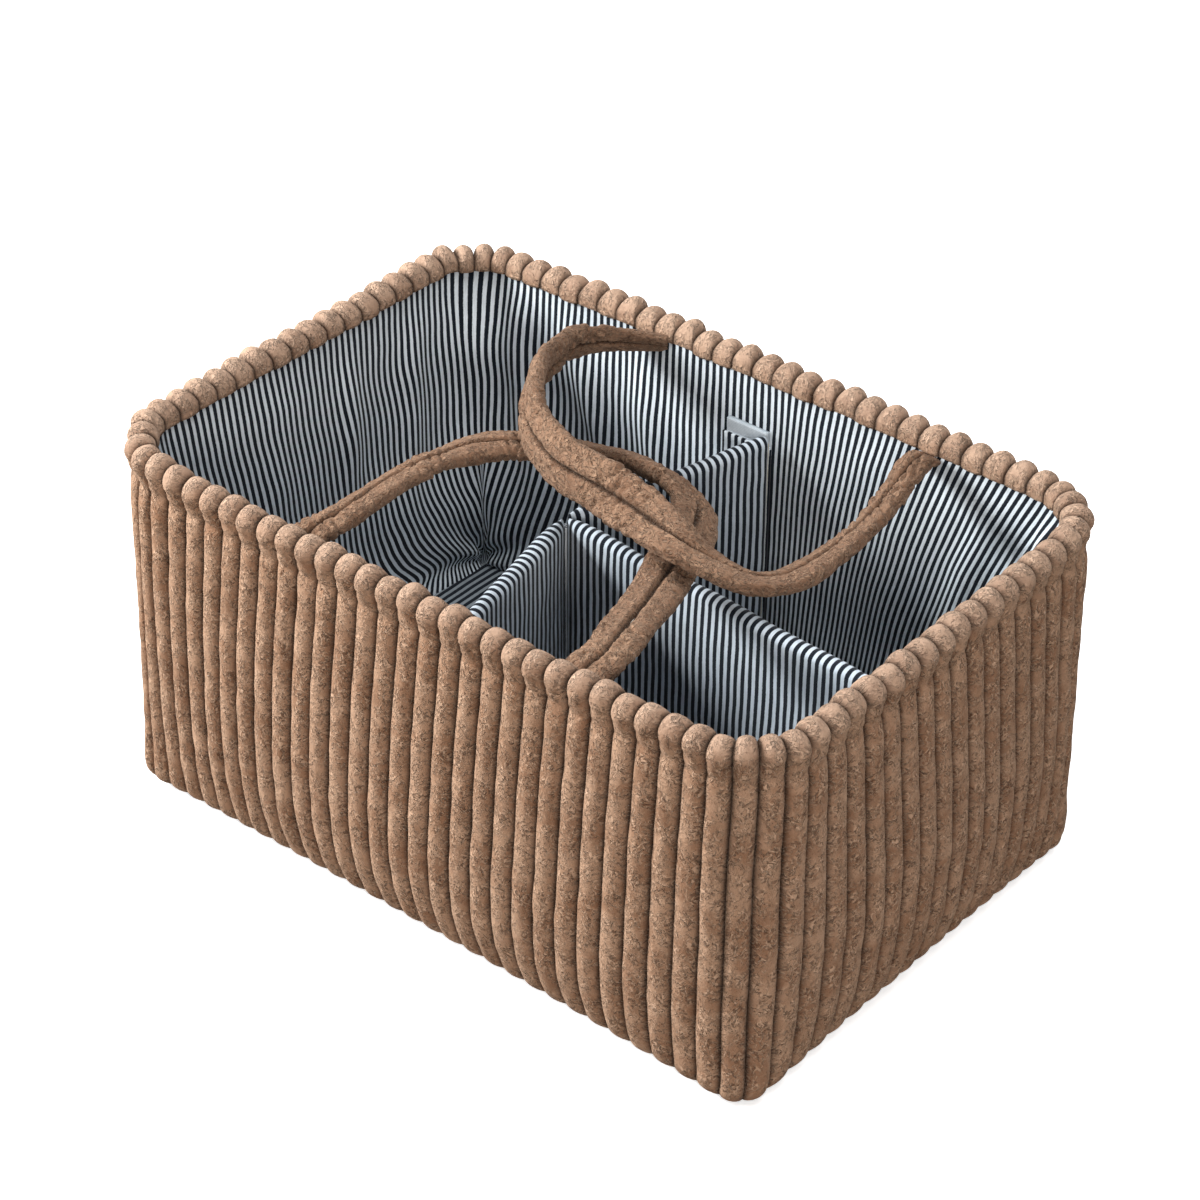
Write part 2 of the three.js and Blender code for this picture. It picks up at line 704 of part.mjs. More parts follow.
// The upright seam where the three leaves are sewn together
const seamHeight = leafTop - SEAM_TOP_DROP - leafBottom;
const seam = new THREE.CylinderGeometry(SEAM_RADIUS, SEAM_RADIUS, seamHeight, SEAM_SIDES);
seam.rotateX(QUARTER).translate(SEAM_X, SEAM_Y, leafBottom + seamHeight / 2);
add('divider_seam', seam, ticking());

export default basket;
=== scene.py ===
# %% [markdown]
# # A storage basket in wide corduroy
# The object is a soft rectangular basket: corduroy over foam outside, striped ticking inside,
# two carrying loops that lie crossed over the top, and a padded divider in the shape of a T.
# The packed CAD model is the frame: it fixes every place and size. Each soft piece is made here
# as its own mesh in that space and most replace a plain solid. All pieces but the carrying loops
# and their webbing ride on the body they belong to.

# %% Load the packed model
import math

import bpy
import numpy as np
from mathutils import Matrix, Vector


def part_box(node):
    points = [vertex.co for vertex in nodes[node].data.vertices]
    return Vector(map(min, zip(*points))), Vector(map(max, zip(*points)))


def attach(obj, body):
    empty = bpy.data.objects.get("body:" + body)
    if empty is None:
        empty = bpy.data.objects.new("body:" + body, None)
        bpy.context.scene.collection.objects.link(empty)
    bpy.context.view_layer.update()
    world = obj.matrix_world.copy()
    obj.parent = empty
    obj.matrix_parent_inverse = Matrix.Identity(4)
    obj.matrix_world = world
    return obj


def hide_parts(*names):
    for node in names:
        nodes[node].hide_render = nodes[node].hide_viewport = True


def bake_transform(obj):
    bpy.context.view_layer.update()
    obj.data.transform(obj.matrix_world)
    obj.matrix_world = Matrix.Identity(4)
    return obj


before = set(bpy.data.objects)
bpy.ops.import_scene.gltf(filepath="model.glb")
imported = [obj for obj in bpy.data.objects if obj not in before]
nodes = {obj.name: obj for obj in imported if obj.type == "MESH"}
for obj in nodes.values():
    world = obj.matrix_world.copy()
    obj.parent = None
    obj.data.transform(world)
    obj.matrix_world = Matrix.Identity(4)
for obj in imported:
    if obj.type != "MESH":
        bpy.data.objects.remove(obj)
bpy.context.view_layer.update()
print("nodes:", len(nodes))

# %% [markdown]
# ## The camera
# The camera comes first, because every shape is judged through it. Its place was found by
# fitting the rim and the base corners of the CAD model to the photograph: a long lens, about
# a metre and a half away, looking down at 35 degrees on the front right corner.

# %% Camera
MM = 0.001
CAMERA_AZIMUTH = math.radians(39.933537)
CAMERA_ELEVATION = math.radians(34.552838)
CAMERA_ROLL = math.radians(0.323015)
CAMERA_DISTANCE = 1533.801 * MM
CAMERA_SIDESTEP = 0.3617 * MM
CAMERA_RAISE = 91.3849 * MM
SENSOR_WIDTH = 36
LENS = 103.862
CLIP_END = 50

back = Vector((
    math.sin(CAMERA_AZIMUTH) * math.cos(CAMERA_ELEVATION),
    -math.cos(CAMERA_AZIMUTH) * math.cos(CAMERA_ELEVATION),
    math.sin(CAMERA_ELEVATION),
))
level_right = Vector((math.cos(CAMERA_AZIMUTH), math.sin(CAMERA_AZIMUTH), 0))
level_up = back.cross(level_right)
right = level_right * math.cos(CAMERA_ROLL) + level_up * math.sin(CAMERA_ROLL)
up = level_up * math.cos(CAMERA_ROLL) - level_right * math.sin(CAMERA_ROLL)

camera_data = bpy.data.cameras.new("camera")
camera_data.sensor_width = SENSOR_WIDTH
camera_data.lens = LENS
camera_data.clip_end = CLIP_END
camera = bpy.data.objects.new("camera", camera_data)
camera.matrix_world = Matrix.Translation(
    back * CAMERA_DISTANCE + right * CAMERA_SIDESTEP + up * CAMERA_RAISE
) @ Matrix((right, up, back)).transposed().to_4x4()
bpy.context.scene.collection.objects.link(camera)
bpy.context.scene.camera = camera
print("camera at", [round(value, 3) for value in camera.matrix_world.translation])

# %% [markdown]
# ## Light
# Product pictures like this one are lit by soft sources in a white room. A small lamp low on the
# left gives each rib a bright and a dark flank, a wide one above fills the inside, a warm one from
# the front right skims over the right wall, and a weak one lights the back. The world is dim, so
# that folds and grooves keep their shade.

# %% Lamps
# Name, place in metres, size, power in watts and tint
LAMPS = [
    ("key_lamp", (-1.15, -0.6, 0.76), 0.45, 36, (0.98, 1, 1)),
    ("top_lamp", (0.45, -0.2, 2.5), 1.8, 44, (1, 1, 1)),
    ("fill_lamp", (1.65, -1.8, 1.1), 0.6, 23.5, (1, 0.93, 0.86)),
    ("rear_lamp", (-0.7, 2.3, 1.1), 0.9, 15, (1, 1, 1)),
]
AIM = Vector((0, 0, 0.08))


def soft_lamp(name, place, size, power, tint):
    """A square lamp at a place, turned towards the basket."""
    data = bpy.data.lights.new(name, "AREA")
    data.size = size
    data.energy = power
    data.color = tint
    lamp = bpy.data.objects.new(name, data)
    lamp.location = place
    lamp.rotation_euler = (AIM - Vector(place)).to_track_quat("-Z", "Y").to_euler()
    bpy.context.scene.collection.objects.link(lamp)


for lamp_values in LAMPS:
    soft_lamp(*lamp_values)
print("lamps:", [lamp_values[0] for lamp_values in LAMPS])

# %% [markdown]
# ## Background and floor
# The picture's background is pure white, but a white room would wash out the grooves. So the
# world and the floor have two faces, chosen by the kind of ray: the camera sees white, and the
# light that falls on the basket comes from a dim sky and a darker floor. The pale floor is still
# shaded where the basket stands, and keeps its shadow.

# %% Background
WORLD_STRENGTH = 0.09
SKY_TINT = (0.97, 0.985, 1, 1)
WHITE = (1, 1, 1, 1)


def white_to_camera(tree, lit_shader, seen_shader, surface):
    """Joins the shader that lights things and the one that the camera and reflections see."""
    path = tree.nodes.new("ShaderNodeLightPath")
    seen = path.outputs["Is Camera Ray"]
    for ray in ("Is Glossy Ray", "Is Transmission Ray"):
        either = tree.nodes.new("ShaderNodeMath")
        either.operation = "MAXIMUM"
        tree.links.new(seen, either.inputs[0])
        tree.links.new(path.outputs[ray], either.inputs[1])
        seen = either.outputs[0]
    choice = tree.nodes.new("ShaderNodeMixShader")
    tree.links.new(seen, choice.inputs[0])
    tree.links.new(lit_shader.outputs[0], choice.inputs[1])
    tree.links.new(seen_shader.outputs[0], choice.inputs[2])
    tree.links.new(choice.outputs[0], surface)


world = bpy.data.worlds.new("studio")
world.use_nodes = True
world.node_tree.nodes.clear()
skies = []
for colour, strength in ((SKY_TINT, WORLD_STRENGTH), (WHITE, 1)):
    sky = world.node_tree.nodes.new("ShaderNodeBackground")
    sky.inputs["Color"].default_value = colour
    sky.inputs["Strength"].default_value = strength
    skies.append(sky)
world_output = world.node_tree.nodes.new("ShaderNodeOutputWorld")
white_to_camera(world.node_tree, *skies, world_output.inputs["Surface"])
bpy.context.scene.world = world
bpy.context.scene.view_settings.view_transform = "Standard"
print("world strength:", WORLD_STRENGTH)

# %% Floor
FLOOR_RADIUS = 14
FLOOR_SIDES = 64
FLOOR_GLOW = 0.62
FLOOR_PAINT = (0.24, 0.23, 0.22, 1)

floor_mesh = bpy.data.meshes.new("studio_floor")
floor_turns = [2 * math.pi * side / FLOOR_SIDES for side in range(FLOOR_SIDES)]
floor_mesh.from_pydata(
    [(FLOOR_RADIUS * math.cos(turn), FLOOR_RADIUS * math.sin(turn), 0) for turn in floor_turns],
    [],
    [list(range(FLOOR_SIDES))],
)
floor = bpy.data.objects.new("studio_floor", floor_mesh)
bpy.context.scene.collection.objects.link(floor)

floor_paint = bpy.data.materials.new("floor_paint")
floor_paint.use_nodes = True
floor_tree = floor_paint.node_tree
paint = floor_tree.nodes["Principled BSDF"]
paint.inputs["Base Color"].default_value = FLOOR_PAINT
paint.inputs["Roughness"].default_value = 0.9
paint.inputs["Specular IOR Level"].default_value = 0.1
white_paint = floor_tree.nodes.new("ShaderNodeBsdfDiffuse")
white_paint.inputs["Color"].default_value = WHITE
glow = floor_tree.nodes.new("ShaderNodeEmission")
glow.inputs["Strength"].default_value = FLOOR_GLOW
bright = floor_tree.nodes.new("ShaderNodeAddShader")
floor_tree.links.new(white_paint.outputs[0], bright.inputs[0])
floor_tree.links.new(glow.outputs[0], bright.inputs[1])
white_to_camera(floor_tree, paint, bright, floor_tree.nodes["Material Output"].inputs["Surface"])
floor_mesh.materials.append(floor_paint)
print("floor glow:", FLOOR_GLOW)

# %% [markdown]
# ## Sizes that the cloth shares with the CAD model
# The walls are layers, each lying a little further inside the crests of the ribs. These
# numbers repeat the ones in the part's source, so a piece made here lands in the space that
# its solid holds.

# %% Sizes of the body
HEIGHT = 180 * MM
BASE_LENGTH = 349 * MM
BASE_WIDTH = 236 * MM
TOP_LENGTH = 359 * MM
TOP_WIDTH = 239 * MM
BASE_CORNER_RADIUS = 16 * MM
TOP_CORNER_RADIUS = 36 * MM
RIB_HEIGHT = 4.4 * MM
CLOTH_BACK = 4.9 * MM
LINING_BACK = 9.5 * MM
LINING_FACE = 10.4 * MM
FACING_BACK = 10.7 * MM
FACING_CREST = 12.6 * MM
FACING_EDGE = 169.5 * MM
HEAD_LEVEL = 172.6 * MM
HEAD_OVERHANG = 1.3 * MM
HEAD_HALF_HEIGHT = 7.2 * MM
BEND_RADIUS = 9 * MM
LINING_BOTTOM = 5.2 * MM
FLOOR_TOP = 6.1 * MM

# The four sides anticlockwise from the front: the way each faces, its ribs and whether it is long
SIDES = [
    (-math.pi / 2, 31, True),
    (0, 20, False),
    (math.pi / 2, 31, True),
    (math.pi, 20, False),
]
RIB_COUNT = sum(ribs for _, ribs, _ in SIDES)
print("ribs:", RIB_COUNT)

# %% [markdown]
# ## Places round the basket
# The corduroy is one band, so a place on it is told by a rib mark, a level and an inset from the
# crests. One helper turns these three into a point. Along a side every mark gets the same length
# of cloth, on the straight part and round the corners.

# %% The band
def outline(level):
    """Half length, half width and corner radius over the crests at a level."""
    share = level / HEIGHT
    return (
        (BASE_LENGTH + (TOP_LENGTH - BASE_LENGTH) * share) / 2,
        (BASE_WIDTH + (TOP_WIDTH - BASE_WIDTH) * share) / 2,
        BASE_CORNER_RADIUS + (TOP_CORNER_RADIUS - BASE_CORNER_RADIUS) * share,
    )


def band_points(marks, inset, level):
    """Points of a band round the basket: marks count ribs from the front left corner."""
    marks, inset, level = np.broadcast_arrays(
        np.asarray(marks) % RIB_COUNT, inset, level)
    half_length, half_width, radius = outline(level)
    points = np.zeros(marks.shape + (3,))
    points[..., 2] = level
    first = 0
    for facing, ribs, is_long in SIDES:
        here = (marks >= first) & (marks < first + ribs)
        along_half = half_length if is_long else half_width
        across = half_width if is_long else half_length
        straight = along_half - radius
        run = straight + radius * math.pi / 4
        distance = run * (2 * (marks - first) / ribs - 1)
        turned = np.maximum(np.abs(distance) - straight, 0) / radius
        along = np.sign(distance) * (
            np.minimum(np.abs(distance), straight) + (radius - inset) * np.sin(turned))
        out = across - radius + (radius - inset) * np.cos(turned)
        cos, sin = math.cos(facing), math.sin(facing)
        points[..., 0] = np.where(here, out * cos - along * sin, points[..., 0])
        points[..., 1] = np.where(here, out * sin + along * cos, points[..., 1])
        first += ribs
    return points


rim_corner = band_points(0, 0, HEIGHT)
print("front left rim corner at", np.round(rim_corner, 4))

# %% [markdown]
# ## How soft walls settle
# A basket that has been carried and filled is never as straight as its pattern. Its sides swell
# low down, its ribs lean away from the corners and its rim sags a little at the front. These are
# tables of what was read off, with smooth steps between the rows, and every layer of the wall
# reads the same tables.

# %% Swell, drift and sag
def table_at(value, table, window, period=None):
    """Reads rows of place and amount, with the corners between them rounded over a window."""
    places, amounts = np.array(table).T
    near = [np.interp(value + window * step, places, amounts, period=period)
            for step in (-1, -0.5, 0, 0.5, 1)]
    return sum(near) / len(near)


# Swell of a wall in mm by level in mm, and how much of it each part of the band has
SWELL_BY_LEVEL = [(0, -3.5), (3, -2.8), (8, -1), (15, 1.2), (25, 3.5), (40, 4.6), (60, 5),
                  (100, 4.5), (140, 3), (160, 2), (180, 2)]
SWELL_BY_MARK = [(0, 0.7), (15, 1), (31, 0.95), (41, 0.8), (51, 0.6), (66, 0.5), (82, 0.4),
                 (92, 0.4)]

# Sideways drift of the ribs in ribs: a share by level, and the amount by mark
DRIFT_BY_LEVEL = [(0, 0.85), (15, 0.88), (25, 0.98), (40, 1), (60, 1), (80, 0.86), (100, 0.64),
                  (120, 0.4), (140, 0.13), (155, 0), (180, 0)]
DRIFT_BY_MARK = [(0, -0.15), (2.3, -0.35), (4.6, -0.55), (7.6, -0.75), (11, -0.8), (15, -0.78),
                 (19.8, -0.6), (22.9, -0.5), (25.9, -0.38), (28.6, -0.22), (31, -0.05),
                 (33, 0.5), (35, 0.85), (37, 1.05), (41, 1.1), (45, 1.15), (48, 0.9), (51, 0.25),
                 (56, -0.3), (66, -0.6), (76, -0.4), (82, 0.1), (88, 0.5), (95, 0.5), (100, 0.1)]

# How far the rim sags by mark, as a share of the full sag, and the levels in mm where it sets in
SAG_BY_MARK = [(0, 0), (1, 0), (4, 1), (31, 1), (34, 0.6), (38, 0), (101, 0)]
RIM_SAG = 2.2 * MM
SAG_START = 148
SAG_SPAN = 16


def bowed(share):
    """How far a soft side stands out, by the share of its half length from its middle."""
    return 1 - 1.35 * np.abs(share) ** 3


def settled(marks, level):
    """Where soft walls really stand: drift in ribs, distance outwards and distance up."""
    marks, level = np.broadcast_arrays(np.asarray(marks, float) % RIB_COUNT, level)
    share = np.zeros(marks.shape)
    first = 0
    for _, ribs, _ in SIDES:
        here = (marks >= first) & (marks < first + ribs)
        share = np.where(here, 2 * (marks - first) / ribs - 1, share)
        first += ribs
    height = level / MM
    out = MM * table_at(height, SWELL_BY_LEVEL, 5) * table_at(
        marks, SWELL_BY_MARK, 2, RIB_COUNT) * bowed(share)
    drift = table_at(height, DRIFT_BY_LEVEL, 8) * table_at(
        marks, DRIFT_BY_MARK, 1.5, RIB_COUNT)
    sag = RIM_SAG * table_at(marks, SAG_BY_MARK, 1, RIB_COUNT) * np.clip(
        (height - SAG_START) / SAG_SPAN, 0, 1)
    return drift, out, -sag


settled_middle = [np.round(value, 4) for value in settled(SIDES[0][1] / 2, HEIGHT / 3)]
print("middle of the front, low down: drift, out and up", settled_middle)

# %% [markdown]
# ## Helpers for cloth
# Nearly every piece is a grid of points bent into shape: rows run one way over the cloth and
# columns the other. A helper turns such a grid into a closed mesh and stores the cloth's own
# coordinates, in metres along and across the fabric, as a UV map. Stripes and nap are drawn in
# those coordinates, so they follow every fold as printed or woven cloth does.

# %% Cloth helpers
NAP_MAP = "cloth"
CROWN_MARK = "crown"


def joined(*parts):
    """Grids or single numbers brought to one shape and joined into a grid of places."""
    return np.stack(np.broadcast_arrays(*parts), axis=-1)


def cloth_mesh(name, points, cloth, closed_rows=False, crown=None):
    """A closed mesh from a grid whose columns meet again, with the cloth's places as UV map."""
    rows, columns = points.shape[:2]
    row_faces = rows if closed_rows else rows - 1
    row = np.arange(row_faces)[:, None] * columns
    column = np.arange(columns)[None, :]
    next_row = (row + columns) % (rows * columns)
    next_column = (column + 1) % columns
    corners = joined(row + column, row + next_column, next_row + next_column,
                     next_row + column).reshape(-1, 4)
    maps = np.stack([cloth[:-1, :-1], cloth[:-1, 1:], cloth[1:, 1:], cloth[1:, :-1]], axis=2)
    maps = maps[:row_faces, :columns].reshape(-1, 4, 2)
    places = points.reshape(-1, 3)
    a, b, c, d = (places[corners[:, k]] for k in range(4))
    volume = np.einsum("ij,ij->i", a, np.cross(b, c) + np.cross(c, d)).sum()
    caps = []
    if not closed_rows:
        first_cap = np.arange(columns)[::-1]
        last_cap = (rows - 1) * columns + np.arange(columns)
        caps = [(first_cap, cloth[0, :-1][::-1]), (last_cap, cloth[-1, :-1])]
    if volume < 0:
        corners = corners[:, ::-1]
        maps = maps[:, ::-1]
        caps = [(face[::-1], uv[::-1]) for face, uv in caps]
    faces = corners.tolist() + [face.tolist() for face, _ in caps]
    mesh = bpy.data.meshes.new(name)
    mesh.from_pydata(places.tolist(), [], faces)
    layer = mesh.uv_layers.new(name=NAP_MAP)
    flat = np.concatenate([maps.reshape(-1, 2)] + [uv for _, uv in caps])
    layer.data.foreach_set("uv", flat.astype(np.float32).ravel())
    if crown is not None:
        mark = mesh.attributes.new(CROWN_MARK, "FLOAT", "POINT")
        mark.data.foreach_set("value", np.broadcast_to(
            crown, (rows, columns)).astype(np.float32).ravel())
    mesh.validate()
    mesh.shade_smooth()
    piece = bpy.data.objects.new(name, mesh)
    bpy.context.scene.collection.objects.link(piece)
    print(name, "faces:", len(mesh.polygons))
    return piece


print("cloth becomes meshes with a map called", NAP_MAP)

# %% Helpers for unevenness and for slabs
def slab_cloth(rows, columns):
    """Flat places of a slab: rows as they lie, columns out over one face and back."""
    flat = joined(rows[:, None], np.concatenate([columns, columns[::-1], columns[:1]]))
    return np.concatenate([flat, flat[-1:] + MM])


def ripples(points, wavelength, seed, waves=7):
    """Smooth bumps, mostly between -1 and 1 and the same on each run."""
    draw = np.random.default_rng(seed)
    ways = draw.normal(size=(waves, points.shape[-1]))
    ways /= np.linalg.norm(ways, axis=1, keepdims=True)
    turns = 2 * np.pi * points @ ways.T / (wavelength * draw.uniform(0.7, 1.4, waves))
    return np.sin(turns + draw.uniform(0, 2 * np.pi, waves)).sum(-1) / math.sqrt(2 * waves)


def ease(value, low, high):
    """0 below low, 1 above high, and smooth between."""
    share = np.clip((value - low) / (high - low), 0, 1)
    return share * share * (3 - 2 * share)


def grid_normals(points):
    """Directions out of a grid whose columns close round on themselves."""
    down = np.gradient(points, axis=0)
    round_ = np.roll(points, -1, axis=1) - np.roll(points, 1, axis=1)
    normals = np.cross(round_, down)
    return normals / np.maximum(np.linalg.norm(normals, axis=-1, keepdims=True), 1e-12)


sample = ripples(np.linspace(0, 1, 50)[:, None], 0.1, 1)
print("ripples lie between", round(sample.min(), 2), "and", round(sample.max(), 2))

# %% Helpers for curves
def run_along(places):
    """The length covered along a row of places, from 0 at the first."""
    return np.concatenate([[0], np.cumsum(np.linalg.norm(np.diff(places, axis=0), axis=1))])


def curve_through(knots, per_span=24):
    """A smooth curve through rows of numbers whose first three are a place. It never loops."""
    knots = np.asarray(knots, float)
    padded = np.vstack([2 * knots[0] - knots[1], knots, 2 * knots[-1] - knots[-2]])
    steps = np.sqrt(np.linalg.norm(np.diff(padded[:, :3], axis=0), axis=1))
    found = []
    for span in range(1, len(padded) - 2):
        before, start, end, after = padded[span - 1:span + 3]
        step_in, step, step_out = np.maximum(steps[span - 1:span + 2], 1e-9)
        leave = ((start - before) / step_in - (end - before) / (step_in + step)
                 + (end - start) / step) * step
        arrive = ((end - start) / step - (after - start) / (step + step_out)
                  + (after - end) / step_out) * step
        share = np.arange(per_span)[:, None] / per_span
        found.append(start + leave * share + (3 * (end - start) - 2 * leave - arrive) * share ** 2
                     + (2 * (start - end) + leave + arrive) * share ** 3)
    found.append(knots[-1:])
    return np.vstack(found)


def even_steps(rows, step):
    """The same curve in steps of one length, measured over its first three columns."""
    travelled = run_along(rows[:, :3])
    count = max(int(round(travelled[-1] / step)), 1)
    wanted = np.linspace(0, travelled[-1], count + 1)
    return np.stack([np.interp(wanted, travelled, rows[:, k])
                     for k in range(rows.shape[1])], axis=1)


print("a corner of two steps is", round(run_along(curve_through(
    [(0, 0, 0), (1, 0, 0), (1, 1, 0)]))[-1], 3), "long once it is smooth")

# %% [markdown]
# ## Shader groups
# Four effects are used by more than one material, so each is a node group with named inputs:
# the crushed nap of the corduroy, the woven stripes of the ticking, a plain weave for tape and
# webbing, and a fine fibre grain. The groups only give colours and heights. The shader itself
# stays in each material.

# %% Helper for colours
def linear(red, green, blue):
    """A colour as the eye names it, 0 to 255, turned into the numbers that light adds up in."""
    def channel(value):
        share = value / 255
        return share / 12.92 if share <= 0.04045 else ((share + 0.055) / 1.055) ** 2.4
    return (channel(red), channel(green), channel(blue), 1)


print("middle grey in light:", round(linear(128, 128, 128)[0], 3))

# %% Helper for recipes of nodes
class Sketch:
    """Adds nodes to a tree and joins them, so that a recipe reads from top to bottom."""

    def __init__(self, tree):
        self.tree = tree

    def feed(self, socket, value):
        if isinstance(value, bpy.types.NodeSocket):
            self.tree.links.new(value, socket)
        elif value is not None:
            socket.default_value = value

    def node(self, kind, **inputs):
        made = self.tree.nodes.new(kind)
        for name, value in inputs.items():
            self.feed(made.inputs[name.replace("_", " ")], value)
        return made

    def maths(self, operation, *values):
        made = self.tree.nodes.new("ShaderNodeMath")
        made.operation = operation
        for socket, value in zip(made.inputs, values):
            self.feed(socket, value)
        return made.outputs[0]

    def times(self, first, second):
        return self.maths("MULTIPLY", first, second)

    def plus(self, first, second):
        return self.maths("ADD", first, second)

    def minus(self, first, second):
        return self.maths("SUBTRACT", first, second)

    def vector_maths(self, operation, vector, other):
        made = self.tree.nodes.new("ShaderNodeVectorMath")
        made.operation = operation
        self.feed(made.inputs[0], vector)
        self.feed(made.inputs[1], other)
        return made.outputs[0]

    def stretch(self, vector, factors):
        return self.vector_maths("MULTIPLY", vector, factors)

    def shift(self, vector, offset):
        return self.vector_maths("ADD", vector, offset)

    def noise(self, vector, scale, detail=2.0, roughness=0.5, distortion=0.0):
        made = self.node("ShaderNodeTexNoise", Vector=vector, Scale=scale, Detail=detail,
                         Roughness=roughness, Distortion=distortion)
        return made.outputs["Fac"]

    def ramp(self, value, low, high, start=0.0, end=1.0):
        made = self.tree.nodes.new("ShaderNodeMapRange")
        made.interpolation_type = "SMOOTHSTEP"
        for name, number in (("Value", value), ("From Min", low), ("From Max", high),
                             ("To Min", start), ("To Max", end)):
            self.feed(made.inputs[name], number)
        return made.outputs["Result"]

    def blend(self, share, first, second):
        made = self.tree.nodes.new("ShaderNodeMix")
        made.data_type = "RGBA"
        self.feed(made.inputs["Factor"], share)
        self.feed(made.inputs["A"], first)
        self.feed(made.inputs["B"], second)
        return made.outputs["Result"]

    def toned(self, colour, value):
        made = self.node("ShaderNodeHueSaturation", Color=colour, Value=value)
        return made.outputs["Color"]

    def bump(self, height, distance):
        return self.node("ShaderNodeBump", Height=height, Distance=distance,
                         Strength=1.0).outputs["Normal"]


print("recipes can use", [name for name in vars(Sketch) if not name.startswith("_")])

# %% Helpers for groups
def new_group(name, inputs, outputs):
    """An empty node group with typed sockets, and its input and output nodes."""
    tree = bpy.data.node_groups.new(name, "ShaderNodeTree")
    for title, kind, start in inputs:
        socket = tree.interface.new_socket(title, in_out="INPUT", socket_type=kind)
        if start is not None:
            socket.default_value = start
    for title, kind in outputs:
        tree.interface.new_socket(title, in_out="OUTPUT", socket_type=kind)
    return tree, tree.nodes.new("NodeGroupInput").outputs, tree.nodes.new("NodeGroupOutput").inputs


def place_group(sketch, group, **inputs):
    """Puts a group in a material with its own values."""
    made = sketch.tree.nodes.new("ShaderNodeGroup")
    made.node_tree = group
    for name, value in inputs.items():
        sketch.feed(made.inputs[name.replace("_", " ")], value)
    return made.outputs


FLOAT, COLOUR, VECTOR = "NodeSocketFloat", "NodeSocketColor", "NodeSocketVector"
print("sockets of groups can be", FLOAT, COLOUR, VECTOR)

# %% [markdown]
# ## The crushed nap
# Corduroy pile is brushed flat here and stands up there. From a step away that shows as short
# pale strokes, dark partings and pits in patches, over slow changes of tone. A stroke is a noise
# drawn out one way and cut off at a level. Two sets of strokes cross each other, and a slower
# noise decides where the pile is crushed at all.

# %% Group for the crushed nap
nap_group, given, found = new_group(
    "crushed_nap",
    [("Cloth", VECTOR, None), ("Crease Scale", FLOAT, 230.0), ("Crush", FLOAT, 0.5),
     ("Light", COLOUR, None), ("Middle", COLOUR, None), ("Dark", COLOUR, None)],
    [("Color", COLOUR), ("Height", FLOAT)],
)
nap = Sketch(nap_group)
scale = given["Crease Scale"]
DRAG = (0.0035, 0.0035, 0.0035)
drag = nap.node("ShaderNodeTexNoise", Vector=given["Cloth"], Scale=nap.times(scale, 0.7),
                Detail=1.0)
pushed = nap.shift(given["Cloth"], nap.stretch(drag.outputs["Color"], DRAG))
patches = nap.noise(given["Cloth"], nap.times(scale, 0.33), 2.0, 0.6)
crushed = nap.ramp(patches, nap.minus(0.74, nap.times(given["Crush"], 0.4)), 0.62, 0.1, 1.0)


def strokes(turned, offset, low, high):
    """Short strokes of pile brushed one way, as a mask."""
    lean = nap.node("ShaderNodeVectorRotate", Vector=pushed, Angle=turned)
    drawn_out = nap.stretch(nap.shift(lean.outputs["Vector"], (offset, offset, 0)), (1, 0.42, 1))
    return nap.ramp(nap.noise(drawn_out, nap.times(scale, 2.2), 1.0, 0.4), low, high)


raised = nap.times(nap.maths("MAXIMUM", strokes(0.6, 0.1, 0.53, 0.63),
                             strokes(-0.7, 0.3, 0.53, 0.63)), crushed)
parted = nap.times(nap.maths("MAXIMUM", strokes(0.9, 0.5, 0.61, 0.68),
                             strokes(-0.45, 0.7, 0.61, 0.68)), crushed)
pits = nap.noise(pushed, nap.times(scale, 1.7), 2.0, 0.55)
crease_mask = nap.maths("MAXIMUM", parted, nap.times(nap.ramp(pits, 0.38, 0.28), crushed))
tone = nap.noise(given["Cloth"], nap.times(scale, 0.12), 3.0, 0.6, 0.6)
fibre = nap.noise(given["Cloth"], nap.times(scale, 7.0), 2.0)
surface = nap.blend(nap.ramp(tone, 0.35, 0.65, 0.0, 0.4), given["Middle"], given["Light"])
surface = nap.blend(nap.times(raised, 0.62), surface, given["Light"])
surface = nap.blend(nap.times(crease_mask, 0.7), surface, given["Dark"])
relief = nap.minus(nap.times(raised, 0.6), crease_mask)
nap.feed(found["Color"], nap.toned(surface, nap.ramp(fibre, 0.2, 0.8, 0.86, 1.14)))
nap.feed(found["Height"], nap.plus(relief, nap.times(fibre, 0.15)))
print("group:", nap_group.name)

# %% [markdown]
# ## The woven stripes
# Ticking is woven with dark and light warp threads, so its stripes are exact in the cloth and
# only waver where the cloth does. The stripe is a sawtooth of the distance across the cloth,
# cut at half its width, with the edge softened by single threads.

# %% Group for the woven stripes
stripe_group, given, found = new_group(
    "woven_stripes",
    [("Cloth", VECTOR, None), ("Pitch", FLOAT, 0.0038), ("Dark Share", FLOAT, 0.5),
     ("Light", COLOUR, None), ("Dark", COLOUR, None)],
    [("Color", COLOUR), ("Height", FLOAT)],
)
stripe = Sketch(stripe_group)
waver = stripe.times(stripe.minus(stripe.noise(given["Cloth"], 45.0, 1.0), 0.5), 0.0011)
split = stripe.node("ShaderNodeSeparateXYZ", Vector=given["Cloth"])
across = stripe.plus(split.outputs["X"], waver)
place = stripe.maths("FRACT", stripe.maths("DIVIDE", across, given["Pitch"]))
from_middle = stripe.maths("ABSOLUTE", stripe.minus(place, 0.5))
thread = stripe.noise(stripe.stretch(given["Cloth"], (1.0, 0.35, 1.0)), 2600.0, 1.0)
edge = stripe.plus(from_middle, stripe.times(stripe.minus(thread, 0.5), 0.07))
half_dark = stripe.times(given["Dark Share"], 0.5)
dark_mask = stripe.ramp(edge, stripe.plus(half_dark, 0.035), stripe.minus(half_dark, 0.035))
soil = stripe.noise(given["Cloth"], 30.0, 3.0, 0.6)
